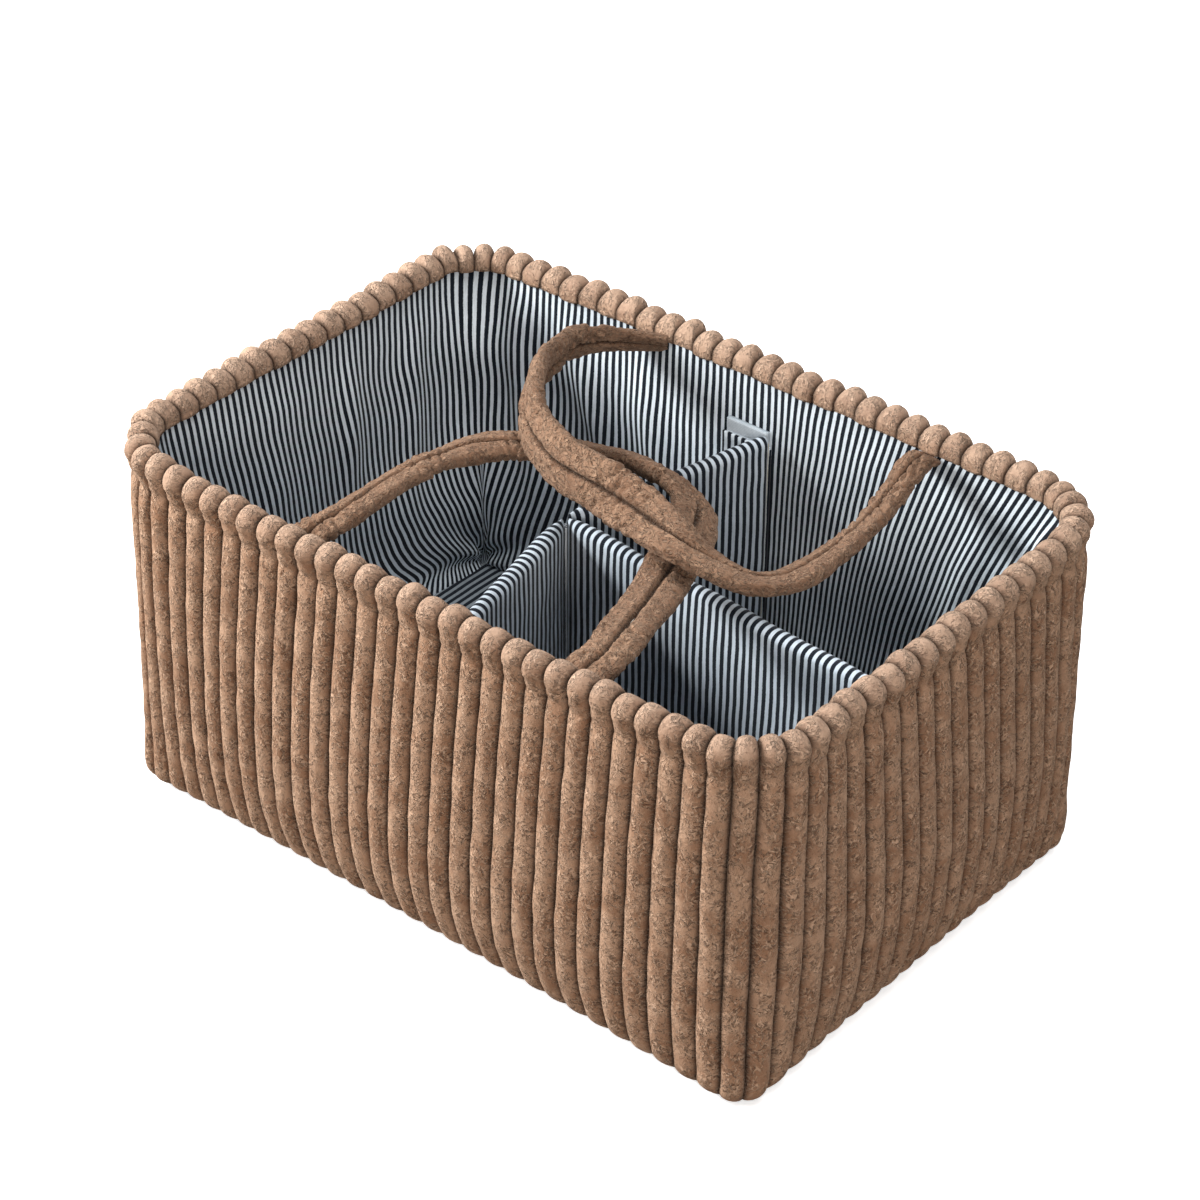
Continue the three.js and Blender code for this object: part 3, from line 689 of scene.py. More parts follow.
slubs = stripe.noise(stripe.stretch(given["Cloth"], (1.0, 0.12, 1.0)), 1500.0, 2.0, 0.6)
worn_tone = stripe.times(stripe.ramp(slubs, 0.25, 0.75, 0.92, 1.06),
                         stripe.ramp(soil, 0.3, 0.7, 0.95, 1.04))
warp = stripe.node("ShaderNodeTexWave", Vector=given["Cloth"], Scale=420.0)
weft = stripe.node("ShaderNodeTexWave", Vector=given["Cloth"], Scale=420.0)
weft.bands_direction = "Y"
twill = stripe.times(warp.outputs["Fac"], weft.outputs["Fac"])
stripe.feed(found["Color"], stripe.toned(
    stripe.blend(dark_mask, given["Light"], given["Dark"]), worn_tone))
stripe.feed(found["Height"], stripe.plus(twill, stripe.times(slubs, 0.6)))
print("group:", stripe_group.name)

# %% [markdown]
# ## Plain weave and fine grain
# Tape, webbing and the stiff pads need a weave or a fibre grain at their own scale. One group
# weaves two sets of waves over each other, and the other is a layered noise with a colour on
# either side of it.

# %% Groups for plain weave and fine grain
weave_group, given, found = new_group(
    "plain_weave",
    [("Cloth", VECTOR, None), ("Threads", FLOAT, 160.0), ("Light", COLOUR, None),
     ("Dark", COLOUR, None)],
    [("Color", COLOUR), ("Height", FLOAT)],
)
weave = Sketch(weave_group)
over, under = (weave.node("ShaderNodeTexWave", Vector=given["Cloth"], Scale=given["Threads"],
                          Distortion=0.6) for _ in range(2))
under.bands_direction = "Z"
crossing = weave.plus(weave.times(over.outputs["Fac"], 0.5),
                      weave.times(under.outputs["Fac"], 0.5))
lint = weave.noise(given["Cloth"], 900.0, 3.0, 0.6)
lit_threads = weave.ramp(weave.plus(crossing, weave.times(lint, 0.4)), 0.35, 1.0)
weave.feed(found["Color"], weave.blend(lit_threads, given["Dark"], given["Light"]))
weave.feed(found["Height"], weave.plus(crossing, weave.times(lint, 0.5)))

grain_group, given, found = new_group(
    "fine_grain",
    [("Place", VECTOR, None), ("Scale", FLOAT, 400.0), ("Light", COLOUR, None),
     ("Dark", COLOUR, None)],
    [("Color", COLOUR), ("Height", FLOAT)],
)
grain = Sketch(grain_group)
cells = grain.node("ShaderNodeTexVoronoi", Vector=given["Place"], Scale=given["Scale"])
clouds = grain.noise(given["Place"], grain.times(given["Scale"], 0.2), 4.0, 0.6)
mixed = grain.plus(grain.times(cells.outputs["Distance"], 0.5), grain.times(clouds, 0.6))
grain.feed(found["Color"], grain.blend(grain.ramp(mixed, 0.3, 0.8), given["Dark"],
                                       given["Light"]))
grain.feed(found["Height"], mixed)
print("groups:", weave_group.name, grain_group.name)

# %% [markdown]
# ## The materials
# Five finishes cover the basket: corduroy, ticking, tape, webbing and the hidden stiffeners.
# All are rough fibres, so the colour comes from the groups and the shine from a weak sheen.
# The corduroy has painted shade in its grooves, where the crown mark of the mesh falls to nought.

# %% Colours of the finishes
CORDUROY_LIGHT = linear(226, 188, 159)
CORDUROY_MIDDLE = linear(155, 116, 90)
CORDUROY_DARK = linear(92, 63, 44)
STRAP_LIGHT = linear(178, 143, 117)
STRAP_MIDDLE = linear(132, 100, 79)
# Painted shade: the colour that the grooves turn to where the crown mark falls
GROOVE_SHADE = linear(46, 26, 15)
# The pale pile of the rim heads: partly rubbed pile, partly a painted highlight from the light
# above
RUBBED_AND_TOPLIT_PILE = linear(206, 186, 170)
TICKING_LIGHT = linear(226, 234, 241)
TICKING_DARK = linear(11, 18, 29)
STRIPE_PITCH = 3.82 * MM
DARK_SHARE = 0.53
print("stripes every", round(STRIPE_PITCH / MM, 2), "mm")

# %% Finishes
def finish_of(name, roughness, sheen=0.0, sheen_tint=(1, 1, 1, 1), specular=0.25):
    """An empty material with its shader's plain values set on the shader's own sockets."""
    material = bpy.data.materials.new(name)
    material.use_nodes = True
    shader = material.node_tree.nodes["Principled BSDF"]
    shader.inputs["Roughness"].default_value = roughness
    shader.inputs["Specular IOR Level"].default_value = specular
    shader.inputs["Sheen Weight"].default_value = sheen
    shader.inputs["Sheen Roughness"].default_value = 0.45
    shader.inputs["Sheen Tint"].default_value = sheen_tint
    return material, Sketch(material.node_tree), shader


def cloth_coordinates(sketch):
    """Places along and across the cloth, in metres."""
    made = sketch.tree.nodes.new("ShaderNodeUVMap")
    made.uv_map = NAP_MAP
    return made.outputs["UV"]


def object_place(sketch):
    """Places in the object's own space, in metres."""
    return sketch.tree.nodes.new("ShaderNodeTexCoord").outputs["Object"]


def corduroy(name, crease_scale, crush, depth, light, middle, rubbed_and_toplit):
    """Corduroy: crushed nap over ribs, with painted shade in the grooves, and paler on the rim
    heads from rubbed pile and a painted highlight.
    """
    material, sketch, shader = finish_of(
        name, 0.95, sheen=0.27, sheen_tint=linear(240, 214, 190), specular=0.12)
    nap = place_group(sketch, nap_group, Cloth=cloth_coordinates(sketch),
                      Crease_Scale=crease_scale, Crush=crush, Light=light,
                      Middle=middle, Dark=CORDUROY_DARK)
    mark = sketch.tree.nodes.new("ShaderNodeAttribute")
    mark.attribute_name = CROWN_MARK
    # Painted shade: the colour turns to the groove shade as the crown mark falls towards the
    # grooves
    shade = sketch.ramp(mark.outputs["Fac"], 0.88, 0.14, 0.0, 0.96)
    height = sketch.node("ShaderNodeSeparateXYZ", Vector=object_place(sketch)).outputs["Z"]
    # The rim heads turn paler: partly rubbed pile, partly a painted highlight where the top light
    # falls
    rubbed_and_toplit_share = sketch.ramp(height, HEAD_LEVEL - HEAD_HALF_HEIGHT, HEAD_LEVEL + HEAD_HALF_HEIGHT,
                             0.0, rubbed_and_toplit)
    rubbed_and_toplit_colour = sketch.blend(rubbed_and_toplit_share, nap["Color"], RUBBED_AND_TOPLIT_PILE)
    sketch.feed(shader.inputs["Base Color"], sketch.blend(shade, rubbed_and_toplit_colour, GROOVE_SHADE))
    sketch.feed(shader.inputs["Normal"], sketch.bump(nap["Height"], depth))
    return material


def ticking(name, light=TICKING_LIGHT):
    """Striped ticking in the cloth's own coordinates."""
    material, sketch, shader = finish_of(name, 0.86, sheen=0.08, specular=0.2)
    stripes = place_group(sketch, stripe_group, Cloth=cloth_coordinates(sketch),
                          Pitch=STRIPE_PITCH, Dark_Share=DARK_SHARE, Light=light,
                          Dark=TICKING_DARK)
    sketch.feed(shader.inputs["Base Color"], stripes["Color"])
    sketch.feed(shader.inputs["Normal"], sketch.bump(stripes["Height"], 0.00012))
    return material


def woven(name, threads, light, dark, depth):
    """A plain woven tape in the object's own coordinates."""
    material, sketch, shader = finish_of(name, 0.9, sheen=0.1, specular=0.15)
    threads_of = place_group(sketch, weave_group, Cloth=object_place(sketch), Threads=threads,
                             Light=light, Dark=dark)
    sketch.feed(shader.inputs["Base Color"], threads_of["Color"])
    sketch.feed(shader.inputs["Normal"], sketch.bump(threads_of["Height"], depth))
    return material


def grained(name, scale, light, dark, depth):
    """A pad or foam with pores and fibres."""
    material, sketch, shader = finish_of(name, 0.9)
    pores = place_group(sketch, grain_group, Place=object_place(sketch), Scale=scale,
                        Light=light, Dark=dark)
    sketch.feed(shader.inputs["Base Color"], pores["Color"])
    sketch.feed(shader.inputs["Normal"], sketch.bump(pores["Height"], depth))
    return material


print("finishes: corduroy, ticking, woven and grained")

# %% Materials
wall_corduroy = corduroy("wall_corduroy", crease_scale=410.0, crush=0.98, depth=0.0013,
                         light=CORDUROY_LIGHT, middle=CORDUROY_MIDDLE, rubbed_and_toplit=0.3)
strap_corduroy = corduroy("strap_corduroy", crease_scale=380.0, crush=1.1, depth=0.002,
                          light=STRAP_LIGHT, middle=STRAP_MIDDLE, rubbed_and_toplit=0.0)
wall_ticking = ticking("wall_ticking")
# The leaves take ticking with darker light stripes: painted shade for the light that the walls keep
# off them
shaded_leaf_ticking = ticking("shaded_leaf_ticking", linear(202, 212, 222))
# The floor of the bag takes ticking with grey light stripes: painted shade deep in the compartments
shaded_floor_ticking = ticking("shaded_floor_ticking", linear(148, 156, 162))
loop_tape = woven("loop_tape", 420.0, linear(226, 233, 239), linear(190, 201, 210), 0.0004)
strap_webbing = woven("strap_webbing", 160.0, linear(222, 216, 205), linear(178, 170, 158), 0.0003)
pale_foam = grained("pale_foam", 900.0, linear(238, 234, 222), linear(205, 199, 184), 0.0003)
grey_board = grained("grey_board", 500.0, linear(214, 206, 190), linear(180, 170, 152), 0.0002)
print("materials:", [material.name for material in bpy.data.materials])

# %% [markdown]
# ## The corduroy wall
# The real wall is one strip of wide corduroy that is rolled over the rim, so each rib ends in a
# round head with a pinched neck under it. It could be a smooth shell with a bump map, but the
# ribs make the outline of the rim, so they are real geometry: the cross-section of the wall is
# a profile of crest and groove, swept round the basket, and each rib swells from one to the
# other. Small drifts, lumps and uneven heads keep it from looking machined.

# %% Profile of the corduroy wall
GROOVE_STEPS = 12
CROWN_FULLNESS = 1.95
HEM_LIFT = 0.6 * MM
HEM_GROOVE = 1.6 * MM
WALL_BOTTOM = 40 * MM
WALL_TOP = 153 * MM
NECK_LEVEL = 162.3 * MM
HEAD_CENTRE = (FACING_CREST - HEAD_OVERHANG) / 2
HEAD_HALF_WIDTH = (FACING_CREST + HEAD_OVERHANG) / 2
HEAD_SIDE_DEPTH = 5.6 * MM
HEAD_TOP_DEPTH = 5.2 * MM
PROFILE_STEP = 1.3 * MM
HEM_TURNS = [22.5, 45, 67.5, 90]
HEAD_TURNS = [212, 196, 180, 160, 140, 115, 90, 65, 40, 15]

# The pinched neck, in mm: inset of the crest, level from the neck's own, inset of the groove
NECK_ROWS = [(0.7, -4, 4.3), (1.5, 0, 4.8), (0.3, 3, 4.6)]


def wall_profile():
    """Rows up the wall and over the rim: crest inset, its level, groove inset, its level."""
    rows = [(BEND_RADIUS, HEM_LIFT, BEND_RADIUS, HEM_GROOVE)]
    hem_depth = HEM_GROOVE - HEM_LIFT
    for turn in np.radians(HEM_TURNS):
        depth = hem_depth + (RIB_HEIGHT - hem_depth) * math.sin(turn) ** 4
        crest_inset = BEND_RADIUS * (1 - math.sin(turn))
        crest_level = BEND_RADIUS - (BEND_RADIUS - HEM_LIFT) * math.cos(turn)
        rows.append((crest_inset, crest_level, crest_inset + depth * math.sin(turn),
                     crest_level + depth * math.cos(turn)))
    for level in np.linspace(WALL_BOTTOM, WALL_TOP, 5):
        rows.append((0, level, RIB_HEIGHT, level))
    for crest, rise, groove in NECK_ROWS:
        level = NECK_LEVEL + rise * MM
        rows.append((crest * MM, level, groove * MM, level))
    groove_outer = HEAD_SIDE_DEPTH - HEAD_OVERHANG
    groove_inner = FACING_CREST - 1 * MM
    groove_half = (groove_inner - groove_outer) / 2
    for turn in np.radians(HEAD_TURNS):
        rows.append((
            HEAD_CENTRE + HEAD_HALF_WIDTH * math.cos(turn),
            HEAD_LEVEL + HEAD_HALF_HEIGHT * math.sin(turn),
            groove_outer + groove_half * (1 + math.cos(turn)),
            HEAD_LEVEL + (HEAD_HALF_HEIGHT - HEAD_TOP_DEPTH) * math.sin(turn),
        ))
    rows.append((FACING_CREST, FACING_EDGE, groove_inner, FACING_EDGE))
    in_a_plane = np.insert(np.array(rows), 2, 0.0, axis=1)
    smooth = even_steps(curve_through(in_a_plane), PROFILE_STEP)
    return np.delete(smooth, 2, axis=1)


profile = wall_profile()
print("profile rows:", len(profile))

# %% Sizes of the ribs
RIB_PITCH = 10.5 * MM
LUMP_DEPTH = 0.2 * MM
DRIFT = 0.075
HEAD_UNEVEN = 0.9 * MM
# How much longer the cloth is than the wall, because it goes over ribs and grooves
RIB_TAKE_UP = 1.35

# The plain rows behind the ribs, from the facing down to the hem: inset and level
BACK_ROWS = [
    (FACING_BACK, FACING_EDGE),
    (FACING_BACK, HEAD_LEVEL + 1.2 * MM),
    ((CLOTH_BACK + FACING_BACK) / 2, HEAD_LEVEL + HEAD_HALF_HEIGHT - 5.4 * MM),
    (CLOTH_BACK, HEAD_LEVEL),
    (CLOTH_BACK, HEIGHT / 2),
    (CLOTH_BACK, BEND_RADIUS),
    (BEND_RADIUS - 3 * MM, BEND_RADIUS - 4.6 * MM),
    (BEND_RADIUS, HEM_GROOVE + 0.9 * MM),
]
print("a rib every", round(RIB_PITCH / MM, 1), "mm in the cloth's own pattern")

# %% The corduroy wall
def corduroy_wall():
    """The ribbed band, closed behind by plain rows against the foam."""
    across = -np.cos(np.pi * np.arange(GROOVE_STEPS) / GROOVE_STEPS)
    marks = (np.arange(RIB_COUNT)[:, None] + (across + 1) / 2).ravel()
    rib_of = np.repeat(np.arange(RIB_COUNT), GROOVE_STEPS)
    crown = np.tile((1 - np.abs(across) ** CROWN_FULLNESS) ** 0.5, RIB_COUNT)
    crest_inset, crest_level, groove_inset, groove_level = (
        profile[:, k][:, None] for k in range(4))

    draw = np.random.default_rng(4)
    head_up = draw.normal(0, 0.5, RIB_COUNT)[rib_of] * HEAD_UNEVEN
    head_out = draw.normal(0, 0.5, RIB_COUNT)[rib_of] * HEAD_UNEVEN
    rib_out = draw.normal(0, 0.22, RIB_COUNT)[rib_of] * MM
    head = ease(crest_level, NECK_LEVEL, HEAD_LEVEL)
    clear_of_hem = ease(crest_level, 2 * MM, 14 * MM)

    level = groove_level + (crest_level - groove_level) * crown + head_up * crown * head
    inset = groove_inset + (crest_inset - groove_inset) * crown
    inset = inset - (head_out * head + rib_out * (1 - head) * clear_of_hem) * crown
    lies = joined(marks * RIB_PITCH, level)
    drift = DRIFT * ripples(lies * (0.6, 1), 95 * MM, 11) * clear_of_hem * (1 - 0.4 * head)
    settling, out, rise = settled(marks, level)
    outer = band_points(marks + drift + settling, inset - out, level + rise)

    normals = grid_normals(outer)
    lumps = ripples(outer, 9 * MM, 21) * 0.7 + ripples(outer, 22 * MM, 22)
    outer = outer + normals * (
        lumps * LUMP_DEPTH * clear_of_hem * (0.4 + 0.6 * crown))[..., None]
    outer[..., 2] = np.maximum(outer[..., 2], 0)

    inner = []
    for back_inset, back_level in BACK_ROWS:
        _, out, rise = settled(marks, back_level)
        inner.append(band_points(marks, back_inset - out, back_level + rise))
    points = np.concatenate([outer, inner])

    travelled = run_along(profile[:, :2])
    down = np.append(travelled, travelled[-1] + np.arange(1, len(BACK_ROWS) + 2) * MM)
    around = np.append(marks, RIB_COUNT) * RIB_PITCH * RIB_TAKE_UP
    cloth = joined(around[None, :], down[:, None])
    crowns = np.zeros(points.shape[:2])
    crowns[:len(outer)] = crown
    return cloth_mesh("corduroy_wall", points, cloth, closed_rows=True, crown=crowns)


cover = corduroy_wall()
cover.data.materials.append(wall_corduroy)
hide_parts("cover_wall")
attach(cover, "basket")

# %% [markdown]
# ## The foam in the walls
# A sheet of foam stands between the corduroy and the lining and gives the walls their fullness.
# It follows the swell of the cover, so it never shows between the ribs.

# %% The foam in the walls
FOAM_OUTER = 5.2 * MM
FOAM_INNER = 9.2 * MM
FOAM_BOTTOM = 3.5 * MM
FOAM_TOP = 169 * MM
FOAM_COLUMNS = 408
FOAM_ROWS = 60


def foam_wall():
    """A plain band of two faces that follows the swell of the cover."""
    marks = np.linspace(0, RIB_COUNT, FOAM_COLUMNS, endpoint=False)[None, :]
    level = np.linspace(FOAM_BOTTOM, FOAM_TOP, FOAM_ROWS)[:, None]
    _, out, rise = settled(marks, level)
    outer = band_points(marks, FOAM_OUTER - out, level + rise)
    inner = band_points(marks, FOAM_INNER - 0.5 * np.clip(out, 0, None), level + rise)
    points = np.concatenate([outer, inner[::-1]])
    around = np.linspace(0, RIB_COUNT * RIB_PITCH, FOAM_COLUMNS + 1)[None, :]
    down = np.linspace(0, 2 * FOAM_TOP, 2 * FOAM_ROWS + 1)[:, None]
    return cloth_mesh("foam_wall", points, joined(around, down), closed_rows=True)


foam = foam_wall()
foam.data.materials.append(pale_foam)
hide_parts("foam_band")
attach(foam, "basket")

# %% [markdown]
# ## The panel under the floor
# The underside is a flat panel of the same corduroy, with its ribs along the basket. It is a
# grid whose rows cross the ribs; each row ends where the rounded outline of the base is.

# %% The corduroy panel under the floor
BASE_COVER_THICKNESS = 2.6 * MM
BASE_RIB_PITCH = 11.2 * MM
BASE_GROOVE_DEPTH = 1.6 * MM
BASE_TAKE_UP = 1.2
BASE_INSET = BEND_RADIUS + 0.3 * MM
HEM_BOW = 3 * MM


def half_length_at(across, inset, level):
    """How far the outline reaches along the basket at a distance from its long axis."""
    half_length, half_width, radius = outline(level)
    radius = radius - inset
    past = np.maximum(np.abs(across) - (half_width - inset - radius), 0)
    return half_length - inset - radius + np.sqrt(np.maximum(radius ** 2 - past ** 2, 0))


def base_panel():
    """The ribbed underside and its plain back, pulled in where the walls are bowed."""
    half_width = outline(0)[1] - BASE_INSET
    half_length = half_length_at(0, BASE_INSET, 0)
    across = np.linspace(-half_width, half_width, 321)
    shares = np.linspace(-1, 1, 121)
    reach = half_length_at(across, BASE_INSET, 0)
    x = reach[:, None] * shares[None, :]
    y = np.broadcast_to(across[:, None], x.shape)
    phase = (across / BASE_RIB_PITCH) % 1
    crown = (1 - np.abs(2 * phase - 1) ** CROWN_FULLNESS) ** 0.5
    margin = ease(1 - np.abs(shares), 0, 0.02)[None, :] * ease(
        half_width - np.abs(across), 0, 3 * MM)[:, None]
    lift = BASE_GROOVE_DEPTH * (1 - crown[:, None] * margin)
    lift = lift + 0.1 * MM * (1 + ripples(joined(x, y), 20 * MM, 31))
    under = joined(x, y, np.clip(lift, 0, None))
    over = joined(x, y, BASE_COVER_THICKNESS)
    points = np.concatenate([under, over[:, ::-1]], axis=1)
    bow_x = HEM_BOW * bowed(points[..., 1] / half_width) / half_length
    bow_y = HEM_BOW * bowed(points[..., 0] / reach.max()) / half_width
    points[..., 0] *= 1 - np.clip(bow_x, 0, None)
    points[..., 1] *= 1 - np.clip(bow_y, 0, None)
    cloth = slab_cloth(across * BASE_TAKE_UP, shares * half_length)
    crowns = np.concatenate([crown[:, None] * margin, np.ones_like(margin)], axis=1)
    return cloth_mesh("base_panel", points, cloth, crown=crowns)


panel = base_panel()
panel.data.materials.append(wall_corduroy)
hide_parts("base_cover")
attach(panel, "basket")

# %% [markdown]
# ## The striped lining
# The lining is a loose bag of ticking. It is sewn in under the rolled rim and its floor is
# smaller than its top, so spare cloth gathers in the corners and soft folds run down from the
# rim. The bag is a plain band with folds added as smooth ridges, and the stripes lean where
# the cloth is pulled sideways.

# %% Folds and corners of the lining
LINING_TOP = 170.5 * MM
SLACK_BEGINS = 40 * MM
SLACK_ENDS = 146 * MM
BILLOW = 0.5 * MM
RUMPLE = 0.25 * MM
TAPE_MARGIN = 14 * MM
LOOP_STRIPS = ["front_loop_strip", "back_loop_strip", "right_loop_strip"]

# Folds: rib mark, level, half width in ribs, half height in metres, lean in ribs, depth
LINING_FOLDS = [
    (78.6, 0.110, 1.1, 0.075, 0.8, 5.5 * MM),
    (75.0, 0.115, 1.0, 0.050, 1.8, 3.5 * MM),
    (71.5, 0.100, 1.2, 0.070, 1.6, 3.5 * MM),
    (67.5, 0.120, 0.9, 0.045, -1.5, 2.5 * MM),
    (86.5, 0.110, 1.0, 0.070, -0.7, 3.5 * MM),
    (90.0, 0.120, 0.8, 0.055, -0.3, 2.6 * MM),
    (94.5, 0.095, 1.6, 0.070, -0.5, 1.6 * MM),
    (53.5, 0.125, 0.9, 0.040, -1.2, 5.5 * MM),
    (56.5, 0.110, 1.0, 0.060, -1.4, 3.0 * MM),
    (48.0, 0.090, 1.4, 0.070, 1.0, 4.0 * MM),
    (60.0, 0.085, 1.6, 0.060, -1.0, 2.5 * MM),
    (30.0, 0.090, 2.0, 0.090, 0.5, 4.0 * MM),
    (1.0, 0.080, 2.0, 0.090, -0.5, 4.0 * MM),
]

# Corners: rib mark, how far the cloth cuts across, and how much spare cloth is gathered low down
LINING_CORNERS = [(82, 11 * MM, 0.9), (51, 9 * MM, 0.7), (31, 6 * MM, 0.3), (0, 7 * MM, 0.4)]
CORNER_SPREAD = 2.4
GATHER_SPREAD = 4.5
PLEATS = 11
PLEAT_SHARE = 0.22
PLEAT_REACH = 38 * MM
print("folds:", len(LINING_FOLDS), "corners:", len(LINING_CORNERS))

# %% How the folds shape the lining
def ribs_from(marks, mark):
    """How many ribs a place is from a mark, the shorter way round the band."""
    return (marks - mark + RIB_COUNT / 2) % RIB_COUNT - RIB_COUNT / 2


def with_folds(marks, level, flat):
    """How far the cloth stands in: ripples and folds, held flat at the loop tapes."""
    lies = joined(marks % RIB_COUNT * RIB_PITCH, level)
    billow = BILLOW * (1 + ripples(lies, 55 * MM, 41)) + RUMPLE * (
        1 + ripples(lies * (1, 0.35), 17 * MM, 42))
    for mark, middle, width, height, lean, depth in LINING_FOLDS:
        away = ribs_from(marks, mark + lean * (level - middle) / height)
        ridge = np.exp(-(away / width) ** 2 * 2) * np.exp(-((level - middle) / height) ** 2 * 2)
        billow = billow + depth * ridge
    slack = ease(level, LINING_BOTTOM, SLACK_BEGINS) * ease(-level, -LINING_TOP, -SLACK_ENDS)
    billow = billow * slack
    for strip in LOOP_STRIPS:
        low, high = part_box(strip)
        past_x = np.maximum(np.maximum(low.x - flat[..., 0], flat[..., 0] - high.x), 0)
        past_y = np.maximum(np.maximum(low.y - flat[..., 1], flat[..., 1] - high.y), 0)
        billow = billow * ease(np.hypot(past_x, past_y), 2 * MM, TAPE_MARGIN)
    return billow


def with_corners(billow, marks, level):
    """Adds the cloth that cuts across a corner and its pleats, and how far it is gathered."""
    gathered = 0
    rounded = ease(level, LINING_BOTTOM, 50 * MM) * ease(-level, -LINING_TOP, -128 * MM)
    near_floor = 1 - ease(level, 8 * MM, 85 * MM)
    for corner, depth, gather in LINING_CORNERS:
        away = ribs_from(marks, corner)
        billow = billow + depth * np.exp(-(away / CORNER_SPREAD) ** 2) * rounded
        gathered = gathered + gather * away * np.exp(
            -(away / GATHER_SPREAD) ** 2) * near_floor * RIB_PITCH
        reach = np.hypot(away * RIB_PITCH, level - LINING_BOTTOM)
        turn = np.arctan2(level - LINING_BOTTOM, away * RIB_PITCH)
        billow = billow + depth * PLEAT_SHARE * (1 + np.cos(PLEATS * turn)) * np.exp(
            -(reach / PLEAT_REACH) ** 2) * ease(reach, 3 * MM, 16 * MM)
    return billow, gathered


print("half way round from mark 0 is", ribs_from(RIB_COUNT / 2, 0))

# %% The striped wall lining
LINING_COLUMNS = 900
LINING_ROWS = 90
LINING_SEAM_MARK = 16
FLOOR_TURN = 9 * MM
FLOOR_PULL = 2.5 * MM

# The rib mark where the stripes stand upright, and how many ribs from there they follow the folds
LINING_STILL_MARK = 67
STILL_SPREAD = 24

# Lean of the stripes: rib mark, and how far they move sideways for each length down
LEAN_MARKS = [(0, -0.16), (4, 0), (40, 0), (47, 0.3), (54, 0.45), (60, 0.25), (66, 0), (84, 0),
              (88, -0.06), (94, -0.14), (101, -0.16)]


def lining_wall():
    """The bag's wall, and its stripes measured along the cloth."""
    marks = LINING_SEAM_MARK + np.linspace(0, RIB_COUNT, LINING_COLUMNS + 1)[None, :]
    level = np.linspace(LINING_BOTTOM, LINING_TOP, LINING_ROWS)[:, None]
    inset = LINING_FACE + FLOOR_PULL * (
        1 - ease(level, LINING_BOTTOM, LINING_BOTTOM + FLOOR_TURN))
    billow = with_folds(marks, level, band_points(marks, inset, level))
    billow, gathered = with_corners(billow, marks, level)
    face = band_points(marks, inset + billow, level)
    behind = band_points(marks, LINING_BACK + (inset - LINING_FACE), level)
    points = np.concatenate([face, behind[::-1]])[:, :-1]

    steps = np.linalg.norm(np.diff(face, axis=1), axis=-1)
    around = np.concatenate([np.zeros((LINING_ROWS, 1)), np.cumsum(steps, axis=1)], axis=1)
    still = int(LINING_COLUMNS * (LINING_STILL_MARK - LINING_SEAM_MARK) / RIB_COUNT)
    around = around - around[:, still:still + 1]
    from_still = ribs_from(marks, LINING_STILL_MARK)
    mean_around = around.mean(axis=0)[None, :]
    around = mean_around + (around - mean_around) * np.exp(-(from_still / STILL_SPREAD) ** 2)
    lean_marks, leans = zip(*LEAN_MARKS)
    lean = np.interp(marks, lean_marks, leans, period=RIB_COUNT)
    flat = joined(around + gathered + lean * (level - HEAD_LEVEL), level)
    cloth = np.concatenate([flat, flat[::-1], flat[:1]])
    return cloth_mesh("striped_lining", points, cloth, closed_rows=True)


lining = lining_wall()
lining.data.materials.append(wall_ticking)
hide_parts("lining_wall")
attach(lining, "basket")

# %% [markdown]
# ## The striped floor
# The floor of the bag lies loose on the stiff insert, so it is a thin slab with low waves. Its
# outline is rounded as the basket's is, and its stripes run across the basket.

# %% The striped floor
def lining_floor():
    """A thin slab of ticking with low waves, flat underneath."""
    inset = FACING_BACK + 0.4 * MM
    half_width = outline(0)[1] - inset
    across = np.linspace(-half_width, half_width, 121)
    shares = np.linspace(-1, 1, 161)
    reach = half_length_at(across, inset, 0)
    x = reach[:, None] * shares[None, :]
    y = np.broadcast_to(across[:, None], x.shape)
    wave = 0.5 * MM * (1 + ripples(joined(x, y), 60 * MM, 51))
    over = joined(x, y, FLOOR_TOP + wave)
    under = joined(x, y, LINING_BOTTOM)
    points = np.concatenate([over, under[:, ::-1]], axis=1)
    cloth = slab_cloth(across, shares * half_length_at(0, inset, 0))[..., ::-1]
    return cloth_mesh("striped_floor", points, cloth)


striped_floor = lining_floor()
striped_floor.data.materials.append(shaded_floor_ticking)
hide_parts("lining_base")
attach(striped_floor, "basket")

# %% [markdown]
# ## The divider
# Each leaf is a striped sleeve over a stiff pad: flat faces, a rounded top that the stripes
# run over, and thin edges at the seam. A leaf is one closed section swept from the seam to the
# wall. Its faces swell a little between their edges, as a filled sleeve does.

# %% Sizes of the leaves
SEAM_X = -19 * MM
SEAM_Y = -1 * MM
LEAF_TOP = 146 * MM
LEAF_BOTTOM = 6.4 * MM
LEAF_THICKNESS = 6.4 * MM
LEAF_END_INSET = 16 * MM
LEAF_STEP = 1.6 * MM
# Half thickness for each metre out from the seam that leaves the long leaf room to swing
SEAM_WEDGE = 0.43
TOP_STEPS = 10
LEAF_SWELL = 0.45 * MM
LEAF_RUMPLE = 0.13 * MM
LEAF_SAG = 0.5 * MM
print("leaves stand", round((LEAF_TOP - LEAF_BOTTOM) / MM, 1), "mm high")

# %% The shape of a leaf
def leaf_section(levels):
    """Round a leaf's section: shares of the half thickness, and levels, from one foot over."""
    turns = np.linspace(0, np.pi, TOP_STEPS + 1)[1:-1]
    up_side = [(1.0, level) for level in levels]
    over_top = [(math.cos(turn), LEAF_TOP - LEAF_THICKNESS / 2 * (1 - math.sin(turn)))
                for turn in turns]
    down_side = [(-1.0, level) for level in levels[::-1]]
    return np.array(up_side + over_top + down_side)


